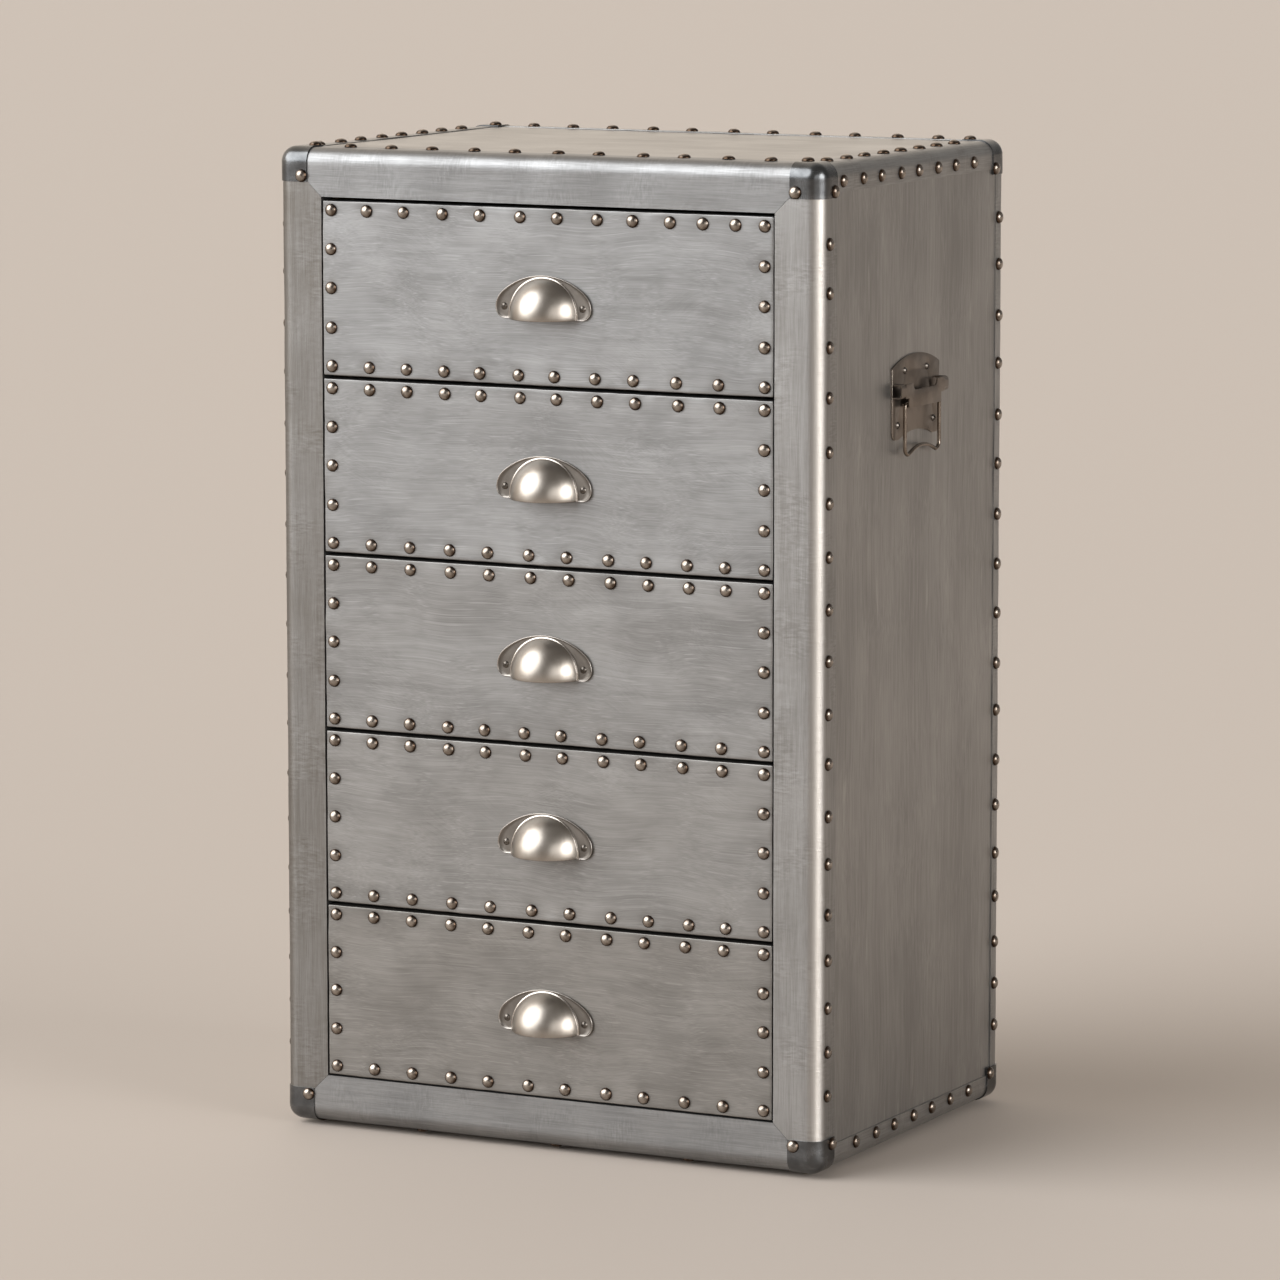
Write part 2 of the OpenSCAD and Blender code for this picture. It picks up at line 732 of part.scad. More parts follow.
// The front board, with the groove that holds the front edge of the bottom
module drawer_front(n) color(board_brown) on_face(n) difference() {
    depth = skin_t + front_t;
    groove_x = box_x - box_t + bottom_lap + fit_clear;
    face_block(skin_t, depth);
    box(
        [-groove_x, bottom_z - fit_clear, -depth - cut],
        [groove_x, bottom_z + bottom_t + fit_clear, -depth + bottom_lap + fit_clear]
    );
}

// The sheet folded over the front board
module drawer_skin(n) color(aluminium) on_face(n) difference() {
    depth = skin_t + front_t;
    face_block(0, depth);
    face_block(skin_t, depth + cut);
}

// Two grooved sides with the back between them
module drawer_box(n) color(board_brown) translate([0, 0, drawer_z(n)]) {
    low = -face_h / 2 + box_low;
    for (side = [0, 1]) mirror([side, 0, 0]) difference() {
        box([box_x - box_t, face_back, low], [box_x, box_back, box_top]);
        box(
            [box_x - groove_d, face_back - cut, -runner_h / 2 - slide_clear],
            [box_x + cut, box_back + cut, runner_h / 2 + slide_clear]
        );
        box(
            [box_x - box_t - cut, face_back - cut, bottom_z - fit_clear],
            [box_x - box_t + bottom_lap + fit_clear, box_back + cut, bottom_z + bottom_t + fit_clear]
        );
    }
    back_x = box_x - box_t - fit_clear;
    box([-back_x, box_back - box_t, bottom_z + bottom_t], [back_x, box_back, box_top]);
}

module drawer_bottom(n) color(board_brown) translate([0, 0, drawer_z(n) + bottom_z]) {
    half = box_x - box_t + bottom_lap;
    box([-half, face_back - bottom_lap, 0], [half, box_back, bottom_t]);
}

// The flange's outline, inset: a crown and two ends in three arcs above the widest line,
// and two small round corners below it
module pull_outline(inset) {
    end_x = pull_w / 2 - pull_end_r;
    crown_r = (end_x * end_x + pull_up * pull_up - pull_end_r * pull_end_r) / (2 * (pull_up - pull_end_r));
    crown_y = pull_up - crown_r;
    foot_x = pull_w / 2 - pull_down;
    past = 3;
    intersection() {
        translate([0, crown_y]) circle(crown_r - inset, $fn = 180);
        polygon([[0, crown_y], [past * end_x, -(past - 1) * crown_y], [-past * end_x, -(past - 1) * crown_y]]);
        translate([-pull_w, 0]) square([2 * pull_w, pull_w]);
    }
    for (s = [-1, 1]) {
        intersection() {
            translate([s * end_x, 0]) circle(pull_end_r - inset);
            translate([-pull_w, 0]) square([2 * pull_w, pull_w]);
        }
        translate([s * foot_x, 0]) circle(pull_down - inset);
    }
    translate([-foot_x, inset - pull_down]) square([2 * foot_x, pull_down - inset]);
}

// The cup's solid, inset: a ball sunk behind the flange, over a short straight foot
module cup_block(inset, low, back) {
    ball_r = (cup_half * cup_half + cup_reach * cup_reach) / (2 * cup_reach);
    foot = -pull_down - low;
    intersection() {
        translate([0, cup_drop - pull_down, cup_reach - ball_r]) {
            sphere(ball_r - inset, $fn = 96);
            rotate([90, 0, 0]) cylinder(r = ball_r - inset, h = cup_drop + low, $fn = 96);
        }
        translate([-ball_r, foot, -back]) cube([2 * ball_r, ball_r + cup_drop + low, ball_r + back]);
    }
}

// Lifts the pull so that its outline is centred on the drawer
pull_y = (pull_down - pull_up) / 2;

module drawer_pull(n) color(satin_nickel) on_face(n) translate([0, pull_y, 0]) difference() {
    union() {
        linear_extrude(pull_t) pull_outline(0);
        linear_extrude(pull_t + rim_h) difference() {
            pull_outline(0);
            pull_outline(rim_w);
        }
        cup_block(0, 0, 0);
    }
    cup_block(cup_t, cut, cut);
    for (s = [-1, 1]) translate([s * pull_screw_x, pull_screw_up - pull_down, -cut])
        cylinder(r = screw_shank_r + hole_clear, h = pull_t + 2 * cut);
}

module drawer_screws(n) color(pewter) on_face(n)
    for (s = [-1, 1]) translate([s * pull_screw_x, pull_y + pull_screw_up - pull_down, pull_t]) screw();

module drawer_tacks(n) {
    x = face_w / 2 - drawer_tack_inset;
    y = face_h / 2 - drawer_tack_inset;
    on_face(n) {
        tacks([for (p = row(top_row[n - 1], -x, x, top_drift[n - 1])) [p, y, 0]], out_top);
        tacks([for (p = row(foot_row, -x, x, foot_drift[n - 1])) [p, -y, 0]], out_top);
        for (s = [-1, 1]) tacks([for (p = between(column_tacks, -y, y)) [s * x, p, 0]], out_top);
    }
}

side_panel(-1);  // side_panel_left
side_panel(1);  // side_panel_right
top_panel();
bottom_panel();
back_panel();
front_frame();
drawer_runners();
front_trim(0, bottom_rail_h);  // front_trim_bottom
front_trim(1, stile_w);  // front_trim_right
front_trim(2, top_rail_h);  // front_trim_top
front_trim(3, stile_w);  // front_trim_left
panel_skins();
side_trim();
rear_trim();
corner_caps();
side_tacks();
top_tacks();
hidden_tacks();
cap_tacks();
handle_plates();
handle_straps();
bail(-1);  // bail_left
bail(1);  // bail_right
handle_screws();
glides();
for (n = [1 : drawer_count]) {
    drawer_front(n);
    drawer_skin(n);
    drawer_box(n);
    drawer_bottom(n);
    drawer_pull(n);
    drawer_tacks(n);
    drawer_screws(n);
}
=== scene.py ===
"""A drawer cabinet clad in sheet aluminium: its finishes and hand-worked sheet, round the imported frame.

Lengths are in metres, except where a name ends in _mm. Patterns and relief are in millimetres.
"""

import math

import bmesh
import bpy
import numpy as np
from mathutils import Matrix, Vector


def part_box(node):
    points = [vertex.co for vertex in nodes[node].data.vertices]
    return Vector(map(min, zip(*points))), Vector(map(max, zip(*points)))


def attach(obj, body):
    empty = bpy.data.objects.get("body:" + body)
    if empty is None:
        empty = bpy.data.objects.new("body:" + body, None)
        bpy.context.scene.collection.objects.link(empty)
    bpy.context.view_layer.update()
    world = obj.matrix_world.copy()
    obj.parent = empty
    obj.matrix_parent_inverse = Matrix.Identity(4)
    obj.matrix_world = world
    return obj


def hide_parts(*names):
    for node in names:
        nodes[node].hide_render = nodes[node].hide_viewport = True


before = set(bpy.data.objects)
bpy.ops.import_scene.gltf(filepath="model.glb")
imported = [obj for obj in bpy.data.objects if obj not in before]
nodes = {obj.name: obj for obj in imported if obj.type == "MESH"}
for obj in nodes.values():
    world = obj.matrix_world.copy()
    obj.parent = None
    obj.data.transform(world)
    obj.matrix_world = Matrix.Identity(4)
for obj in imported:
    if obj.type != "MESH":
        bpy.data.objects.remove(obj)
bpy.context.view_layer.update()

X, Y, Z = 0, 1, 2
# A side of the body: the axis that it faces along, and which way
FRONT, BACK, LEFT, RIGHT, FOOT, TOP = (Y, -1), (Y, 1), (X, -1), (X, 1), (Z, -1), (Z, 1)
MM = 0.001
DRAWERS = range(1, 6)
# Edges sharper than this many degrees stay sharp: mostly, on tack heads and on the worn handles
SHARP, TACK_SHARP, WORN_SHARP = 40, 75, 50
# Points this close are merged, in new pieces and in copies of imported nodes, and edges this short go
MERGE, PACKED_MERGE, LEAST_EDGE = 0.001 * MM, 0.002 * MM, 0.0005 * MM


# Surfaces: arrays of points, carried from a plain box or path to the worked metal


def unit(vectors):
    """The vectors at length 1."""
    return vectors / np.linalg.norm(vectors, axis=-1, keepdims=True)


def waves(place, size, seed, count=14):
    """Soft random relief of about -1 to 1: cosine waves in random directions and phases, added up.

    size is the length of a wave, or holds its length along each axis.
    """
    random = np.random.default_rng(seed)
    way = unit(random.normal(size=(count, 3))) / random.uniform(0.7, 1.5, (count, 1))
    phase = 2 * math.pi * (place / np.array(size)) @ way.T + random.uniform(0, 2 * math.pi, count)
    return np.cos(phase).sum(axis=-1) / math.sqrt(count)


def rounded(place, low, high, radius):
    """Rounds a box: a point of it is drawn in to a smaller box, then pushed out again by the radius.

    Returns the points and their normals.
    """
    inner = np.clip(place, low + radius, high - radius)
    normal = unit(place - inner)
    return inner + radius * normal, normal


def from_edge(width, radius, step, turns=6):
    """Distances from a box's edge, from width down to 0, which are even steps once the edge is round."""
    flat = np.linspace(width, radius, max(2, math.ceil((width - radius) / step) + 1))
    bend = radius * (1 - np.tan(np.linspace(0, math.pi / 4, turns)))
    return np.concatenate([flat[:-1], bend])


def quads(rows, columns):
    """The faces of a grid of points, as rows of four point numbers."""
    number = np.arange(rows * columns).reshape(rows, columns)
    corners = [number[:-1, :-1], number[1:, :-1], number[1:, 1:], number[:-1, 1:]]
    return np.stack(corners, axis=-1).reshape(-1, 4)


def joined(patches):
    """Grids of points made one: equal points are merged. Returns the points and the faces."""
    points = np.concatenate([patch.reshape(-1, 3) for patch in patches])
    starts = np.cumsum([0] + [patch.shape[0] * patch.shape[1] for patch in patches])
    faces = [quads(*patch.shape[:2]) + start for patch, start in zip(patches, starts)]
    _, first, number = np.unique(np.round(points, 7), axis=0, return_index=True, return_inverse=True)
    return points[first], number.reshape(-1)[np.concatenate(faces)]


def outward(points, normals, faces):
    """The faces, wound so that each points along the normal of its first corner."""
    corner = points[faces]
    across = np.cross(corner[:, 2] - corner[:, 0], corner[:, 3] - corner[:, 1])
    wrong = (across * normals[faces[:, 0]]).sum(axis=1) < 0
    return np.where(wrong[:, None], faces[:, ::-1], faces)


def walled(points, normals, faces, thickness):
    """A closed sheet: the surface, its copy a wall's thickness behind it, and the rim between them."""
    count = len(points)
    start, end = faces.reshape(-1), np.roll(faces, -1, axis=1).reshape(-1)
    open_edge = ~np.isin(start * count + end, end * count + start)
    start, end = start[open_edge], end[open_edge]
    rim = np.stack([end, start, start + count, end + count], axis=1)
    both = np.concatenate([points, points - thickness * normals])
    return both, np.concatenate([faces, faces[:, ::-1] + count, rim])


def raised(points, normals, relief_mm):
    """The points, moved out along their normals."""
    return points + normals * relief_mm[:, None] * MM


def piece(name, body, points, faces, material, replaces, shade=None, sharp=SHARP):
    """Adds a piece from points and faces. It rides on its body and stands for the named nodes.

    shade is a number at each point or face, which its finish may read.
    """
    mesh = bpy.data.meshes.new(name)
    mesh.from_pydata(points, [], [list(face) for face in faces])
    mesh.shade_smooth()
    mesh.set_sharp_from_angle(angle=math.radians(sharp))
    if shade is not None:
        domain = "POINT" if len(shade) == len(points) else "FACE"
        mesh.attributes.new("shade", "FLOAT", domain).data.foreach_set("value", shade)
    mesh.materials.append(material)
    made = bpy.data.objects.new(name, mesh)
    bpy.context.scene.collection.objects.link(made)
    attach(made, body)
    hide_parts(*replaces)
    return made


# Shader formulas


class Value:
    """A shader node's output. Arithmetic on it adds Math nodes, so a formula reads as it is written."""

    def __init__(self, finish, socket):
        self.finish = finish
        self.socket = socket

    def math(self, operation, *values):
        """The result of a Math node."""
        return self.finish.node("Math", {"operation": operation}, values)

    def __add__(self, other):
        return self.math("ADD", self, other)

    __radd__ = __add__

    def __sub__(self, other):
        return self.math("SUBTRACT", self, other)

    def __rsub__(self, other):
        return self.math("SUBTRACT", other, self)

    def __mul__(self, other):
        return self.math("MULTIPLY", self, other)

    def rise(self, low, high):
        """0 below low and 1 above high, with a smooth step between them."""
        values = {"Value": self, "From Min": low, "From Max": high}
        return self.finish.node("MapRange", {"interpolation_type": "SMOOTHSTEP"}, values)


class Finish:
    """A material in the making, with its patterns laid out in millimetres of object space."""

    def __init__(self, name, metallic=1.0):
        self.material = bpy.data.materials.new(name)
        self.material.use_nodes = True
        self.tree = self.material.node_tree
        self.shader = self.tree.nodes["Principled BSDF"]
        self.give(self.shader.inputs["Metallic"], metallic)
        metres = self.node("TexCoord", output="Object")
        self.place = self.node("VectorMath", {"operation": "SCALE"}, {"Vector": metres, "Scale": 1 / MM})

    def node(self, kind, settings=None, values=(), output=0):
        """Any node by its type, its settings, and the values or links of its inputs by name or in order."""
        made = self.tree.nodes.new("ShaderNode" + kind)
        for name, setting in (settings or {}).items():
            setattr(made, name, setting)
        pairs = values.items() if isinstance(values, dict) else enumerate(values)
        for name, value in pairs:
            self.give(made.inputs[name], value)
        return Value(self, made.outputs[output])

    def give(self, socket, value):
        """Sets an input to a number or colour, or links another node's output to it."""
        if isinstance(value, Value):
            self.tree.links.new(value.socket, socket)
        else:
            socket.default_value = value

    def noise(self, size, detail=2.0, turn=(0, 0, 0), shift=0.0, at=None):
        """Cloudy noise from 0 to 1. size holds a patch's three lengths in mm, before it is turned."""
        spot = self.node(
            "Mapping",
            {"vector_type": "TEXTURE"},
            {"Vector": at or self.place, "Location": (shift,) * 3, "Rotation": turn, "Scale": size},
        )
        return self.node("TexNoise", {}, {"Vector": spot, "Scale": 1.0, "Detail": detail}, "Fac")

    def streaks(self, along, length, width, detail=2.0, turn=0.0, shift=0.0, at=None):
        """Marks with a length along an axis and a width across it, which may be turned in its plane."""
        size = [width] * 3
        size[along] = length
        turns = (0, turn, 0) if along == X else (turn, 0, 0)
        return self.noise(size, detail, turns, shift, at)

    def shade(self):
        """The number that the piece carries at each point or face."""
        return self.node("Attribute", {"attribute_name": "shade"}, output="Fac")

    def strayed(self, size, amount, shift=0.0):
        """The place, strayed by up to amount mm over size mm, so that a pattern there runs in curves."""
        spot = self.node("VectorMath", {"operation": "SCALE"}, {"Vector": self.place, "Scale": 1 / size})
        values = {"Vector": spot, "Scale": 1.0, "Detail": 1.0, "W": shift}
        cloud = self.node("TexNoise", {"noise_dimensions": "4D"}, values, "Color")
        half = (0.5, 0.5, 0.5)
        centred = self.node("VectorMath", {"operation": "SUBTRACT"}, [cloud, half])
        moved = self.node("VectorMath", {"operation": "SCALE"}, {"Vector": centred, "Scale": 2 * amount})
        return self.node("VectorMath", {"operation": "ADD"}, [self.place, moved])

    def mix(self, share, first, second):
        """A colour between two colours. Its sockets go by number, because their names repeat."""
        return self.node("Mix", {"data_type": "RGBA"}, {0: share, 6: first, 7: second}, 2)

    def close(self, colour, roughness, height_mm=None):
        """Sets the shader's inputs, and returns the material. height_mm is the surface's relief."""
        self.give(self.shader.inputs["Base Color"], colour)
        self.give(self.shader.inputs["Roughness"], roughness)
        if height_mm is not None:
            normal = self.node("Bump", {}, {"Strength": 1.0, "Distance": MM, "Height": height_mm})
            self.give(self.shader.inputs["Normal"], normal)
        return self.material


def grey(level, warmth=0.0):
    """A grey that turns towards brown as warmth rises."""
    return (level * (1 + warmth), level, level * (1 - 1.2 * warmth), 1)


# Finishes of the sheet


def drawer_sheet(name, level, warmth):
    """Aluminium rubbed across by hand: fine bowed scratches, patches sanded in arcs, and pale clouds."""
    f = Finish(name)
    bowed = f.strayed(90, 9)
    fine = f.streaks(X, length=60, width=0.55, detail=3, at=bowed)
    bands = f.streaks(X, length=150, width=4, shift=31, at=bowed)
    line = f.streaks(X, length=110, width=0.9, detail=1, shift=101, at=bowed).rise(0.6, 0.74)
    arc = f.streaks(X, length=45, width=0.8, turn=math.radians(24), shift=7, at=f.strayed(60, 16, 3))
    back_arc = f.streaks(X, length=45, width=0.8, turn=math.radians(-19), shift=13, at=f.strayed(70, 14, 5))
    arc_patch = f.noise((50, 50, 34), detail=1, shift=5).rise(0.5, 0.68)
    back_patch = f.noise((55, 55, 40), detail=1, shift=47).rise(0.52, 0.7)
    cloud = f.noise((70, 70, 42), detail=3, shift=19)
    haze = f.noise((26, 26, 15), shift=71)
    tone = (
        fine * 0.32
        + bands * 0.2
        + cloud * 0.34
        + haze * 0.14
        + line * 0.14
        + (arc - 0.5) * arc_patch * 0.2
        + (back_arc - 0.5) * back_patch * 0.18
    )
    near = f.shade()
    clean = f.mix(tone.rise(0.3, 0.72), grey(level * 0.74, warmth + 0.01), grey(level * 1.28, warmth))
    # Darker and browner where the piece's shade is high: wear round the tacks, and painted shade along the
    # folded edges
    colour = f.mix(near * 0.35, clean, grey(level * 0.6, 0.07))
    rough = 0.47 - (fine - 0.5) * 0.12 - (cloud - 0.5) * 0.12
    relief = fine * 0.016 + bands * 0.018 + haze * 0.07 + arc * arc_patch * 0.008
    return f.close(colour, rough, relief)


def strip_sheet(name, along, level, warmth, shift=0.0, wear_and_painted_light=0.5, wear_and_light_share=0.3):
    """Edge strip: mottled scratches along its length, short crinkles across it, and small dark ticks.

    Round the tacks and on the bend its level is multiplied by the first factor after shift, and that colour
    is mixed in by the second: wear round the tacks, and painted shade on the bend, partly also the dullness
    of crinkled metal. A first factor above 1 makes the bend a painted highlight.
    """
    f = Finish(name)
    fine = f.streaks(along, length=26, width=0.7, detail=3, shift=shift)
    bands = f.streaks(along, length=90, width=3, shift=shift + 11)
    crinkle = f.streaks(along, length=1.8, width=8, shift=shift + 23, at=f.strayed(25, 2))
    where = f.noise((35, 35, 35), detail=1, shift=shift + 3).rise(0.42, 0.66)
    tick = f.streaks(along, length=0.5, width=2.6, detail=1, shift=shift + 67).rise(0.69, 0.76) * where
    cloud = f.noise((40, 40, 60), detail=3, shift=shift + 41)
    near = f.shade()
    hammered = f.noise((5, 5, 5), shift=shift + 83)
    nick = f.streaks(along, length=1.1, width=5, shift=shift + 97).rise(0.5, 0.7) * near
    tone = fine * 0.4 + bands * 0.24 + cloud * 0.36 + (crinkle - 0.5) * where * 0.4
    clean = f.mix(tone.rise(0.3, 0.7), grey(level * 0.74, warmth), grey(level * 1.22, warmth * 0.4))
    spotted = f.mix(tick * 0.4, clean, grey(level * 0.5, warmth * 2))
    # Wear round the tacks and painted shade on the bend; with a level factor above 1, a painted highlight on
    # the bend
    colour = f.mix(near * wear_and_light_share, spotted, grey(level * wear_and_painted_light, warmth * 1.5))
    rough = 0.4 + near * 0.08 - (fine - 0.5) * 0.14 - (cloud - 0.5) * 0.16
    relief = fine * 0.015 + crinkle * where * 0.07 + hammered * 0.1 + nick * 0.06 + cloud * 0.1
    return f.close(colour, rough, relief)


def panel_sheet(name, along, level, warmth):
    """A large sheet rubbed one way: fine streaks that come and go, broad drifts and a few pale smears."""
    f = Finish(name)
    drift = f.strayed(130, 7)
    fine = f.streaks(along, length=48, width=0.6, detail=3, at=drift)
    bands = f.streaks(along, length=150, width=3.2, shift=17, at=drift)
    broad = f.streaks(along, length=300, width=45, shift=29, at=drift)
    cloud = f.noise((60, 60, 90), detail=3, shift=37)
    smear = f.streaks(along, length=60, width=9, shift=53, at=drift).rise(0.64, 0.84)
    tone = fine * 0.34 + bands * 0.2 + broad * 0.22 + cloud * 0.24 + smear * 0.16
    colour = f.mix(tone.rise(0.32, 0.72), grey(level * 0.76, warmth), grey(level * 1.26, warmth * 0.7))
    rough = 0.42 - (fine - 0.5) * 0.12 - smear * 0.06 - (cloud - 0.5) * 0.06
    relief = fine * 0.016 + bands * 0.014 + cloud * 0.1
    return f.close(colour, rough, relief)


# Finishes of the hardware


def polished_cap():
    """Blued, polished steel with faint smears and fine scratches."""
    f = Finish("cap_steel")
    smear = f.noise((14, 14, 9), detail=3)
    fine = f.streaks(Z, length=9, width=0.4, shift=9)
    colour = f.mix(smear.rise(0.3, 0.7), grey(0.095, -0.02), grey(0.155, -0.015))
    return f.close(colour, 0.17 + smear * 0.12 + fine * 0.06, smear * 0.04 + fine * 0.002)


def antique_tack():
    """Antique nickel: rubbed bright on the crown, brown towards the rim, with specks of old lacquer."""
    f = Finish("tack_pewter")
    rise = f.shade()
    patina = f.noise((4, 4, 4), detail=3)
    pits = f.noise((0.8, 0.8, 0.8), detail=1, shift=3).rise(0.62, 0.76)
    brightened = (rise * 0.85 + (patina - 0.5) * 0.8).rise(0.28, 1.0)
    colour = f.mix(brightened, (0.07, 0.045, 0.03, 1), (0.4, 0.355, 0.31, 1))
    return f.close(colour, 0.26 - brightened * 0.04 + pits * 0.12, patina * 0.12 - pits * 0.02)


def satin_nickel(name, dark, light, roughness, grain_mm, rim=(0.46, 0.42, 0.38, 1)):
    """Nickel plate over a casting or a pressed sheet: fine satin grain, an uneven tint, and a rim rubbed
    bright and painted with a highlight.
    """
    f = Finish(name)
    brightened = f.shade()
    grain = f.noise((grain_mm,) * 3)
    tint = f.noise((18, 18, 18), shift=7)
    satin = f.mix(tint.rise(0.35, 0.65) * 0.6 + grain * 0.4, dark, light)
    # Brighter where the piece's shade is high: rims rubbed bright, with painted highlights
    colour = f.mix(brightened, satin, rim)
    return f.close(colour, roughness + (grain - 0.5) * 0.12 - brightened * 0.12, grain * 0.007 + tint * 0.05)


# Finishes of the wood and plastic


def wood(name, along, dark, light, ring_mm=7):
    """Sawn wood: growth bands along the grain, fine pores, and a dull surface."""
    f = Finish(name, 0.0)
    drift = f.strayed(120, 10)
    rings = f.streaks(along, length=260, width=ring_mm, detail=3, at=drift)
    pores = f.streaks(along, length=14, width=0.5, shift=5)
    tone = rings * 0.75 + pores * 0.25
    colour = f.mix(tone.rise(0.35, 0.65), dark, light)
    return f.close(colour, 0.62 + pores * 0.1, rings * 0.03 + pores * 0.03)


def fibreboard(name, dark, light):
    """Pressed board: short matted fibres in two browns."""
    f = Finish(name, 0.0)
    fibre = f.noise((2.4, 0.5, 0.6), detail=3, turn=(0.5, 0.4, 0.9))
    cross = f.noise((0.6, 0.5, 2.1), detail=3, turn=(0.2, 0.7, 0.3), shift=9)
    colour = f.mix((fibre * 0.5 + cross * 0.5).rise(0.38, 0.62), dark, light)
    return f.close(colour, 0.8, fibre * 0.04 + cross * 0.04)


def glide_plastic():
    """Moulded black plastic with a fine matt grain."""
    f = Finish("glide_plastic", 0.0)
    grain = f.noise((0.6, 0.6, 0.6))
    colour = f.mix(grain, grey(0.025), grey(0.045))
    return f.close(colour, 0.55, grain * 0.02)


def finish(names, material):
    """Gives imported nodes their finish."""
    for name in names:
        slots = nodes[name].data.materials
        slots.clear()
        slots.append(material)


board = fibreboard("board", (0.3, 0.2, 0.115, 1), (0.46, 0.33, 0.2, 1))
finish(["side_panel_left", "side_panel_right", "top_panel", "bottom_panel"], board)
# The front frame is near-black so that the gaps round the drawers read dark: painted shade. The back is a
# black-stained board.
finish(["back_panel", "front_frame"], fibreboard("dark_board", grey(0.02, 0.05), grey(0.035, 0.05)))
# Its last colour, on the worn edges, is rubbed brightness with a painted highlight
handle_nickel = satin_nickel(
    "handle_nickel", (0.145, 0.12, 0.1, 1), (0.24, 0.205, 0.175, 1), 0.36, 0.8, (0.46, 0.4, 0.34, 1)
)
finish(["handle_plates", "handle_straps"], handle_nickel)
screw_steel = satin_nickel("screw_steel", (0.1, 0.088, 0.076, 1), (0.2, 0.178, 0.158, 1), 0.32, 0.5)
finish(["handle_screws"], screw_steel)
finish(["glides"], glide_plastic())
finish(["drawer_runners"], wood("runner_wood", Y, (0.36, 0.22, 0.11, 1), (0.52, 0.35, 0.2, 1)))
box_wood = wood("drawer_wood", Y, (0.5, 0.36, 0.21, 1), (0.68, 0.53, 0.35, 1))
bottom_wood = wood("bottom_wood", X, (0.52, 0.39, 0.24, 1), (0.66, 0.53, 0.36, 1), 12)
for n in DRAWERS:
    finish([f"drawer_{n}_front"], board)
    finish([f"drawer_{n}_box"], box_wood)
    finish([f"drawer_{n}_bottom"], bottom_wood)
    finish([f"drawer_{n}_screws"], screw_steel)


# Tacks

TACK_R, TACK_H = 5.5 * MM, 3.5 * MM
# A head from its rim, which turns in against the sheet, to its crown: shares of the radius and height
TACK_PROFILE = [(0.93, -0.06), (1.0, 0.05), (0.985, 0.2), (0.87, 0.52), (0.66, 0.77), (0.36, 0.94)]
TACK_SIDES = 14
# How far a head's axis strays, and the least shares of the radius and height that a head has
TACK_TIP, TACK_LEAST_R, TACK_LEAST_H = 0.035, 0.965, 0.93
# The body that each packed group of tacks rides on, and the sides that its heads face
TACK_NODES = {
    "side_tacks": ("cabinet", [LEFT, RIGHT]),
    "top_tacks": ("cabinet", [TOP]),
    "hidden_tacks": ("cabinet", [BACK, FOOT]),
    "cap_tacks": ("cabinet", [FRONT, BACK, LEFT, RIGHT, FOOT, TOP]),
}
TACK_NODES.update({f"drawer_{n}_tacks": (f"drawer_{n}", [FRONT]) for n in DRAWERS})
# How close to a node's farthest point the tops of its packed heads lie, and how squarely they face
CROWN_DEPTH, CROWN_FACING = 0.05 * MM, 0.97


def crowns(node):
    """The crown of each packed tack, and the way it faces: the node's farthest points on each side."""
    mesh = nodes[node].data
    mesh.calc_loop_triangles()
    corner = np.array([vertex.co for vertex in mesh.vertices])
    flat = np.empty(len(mesh.loop_triangles) * 3, dtype=int)
    mesh.loop_triangles.foreach_get("vertices", flat)
    triangle = corner[flat.reshape(-1, 3)]
    across = np.cross(triangle[:, 1] - triangle[:, 0], triangle[:, 2] - triangle[:, 0])
    # The tiny number is for triangles with no area
    facing = unit(across + 1e-20)
    tops, ways = [], []
    for axis, sign in TACK_NODES[node][1]:
        way = sign * np.eye(3)[axis]
        reach = triangle @ way
        at_crown = (reach > reach.max() - CROWN_DEPTH) & (facing @ way > CROWN_FACING)[:, None]
        found = np.unique(np.round(triangle[at_crown], 4), axis=0)
        tops.append(found)
        ways.append(np.repeat(way[None], len(found), axis=0))
    return np.concatenate(tops), np.concatenate(ways)


CROWNS = {node: crowns(node) for node in TACK_NODES}


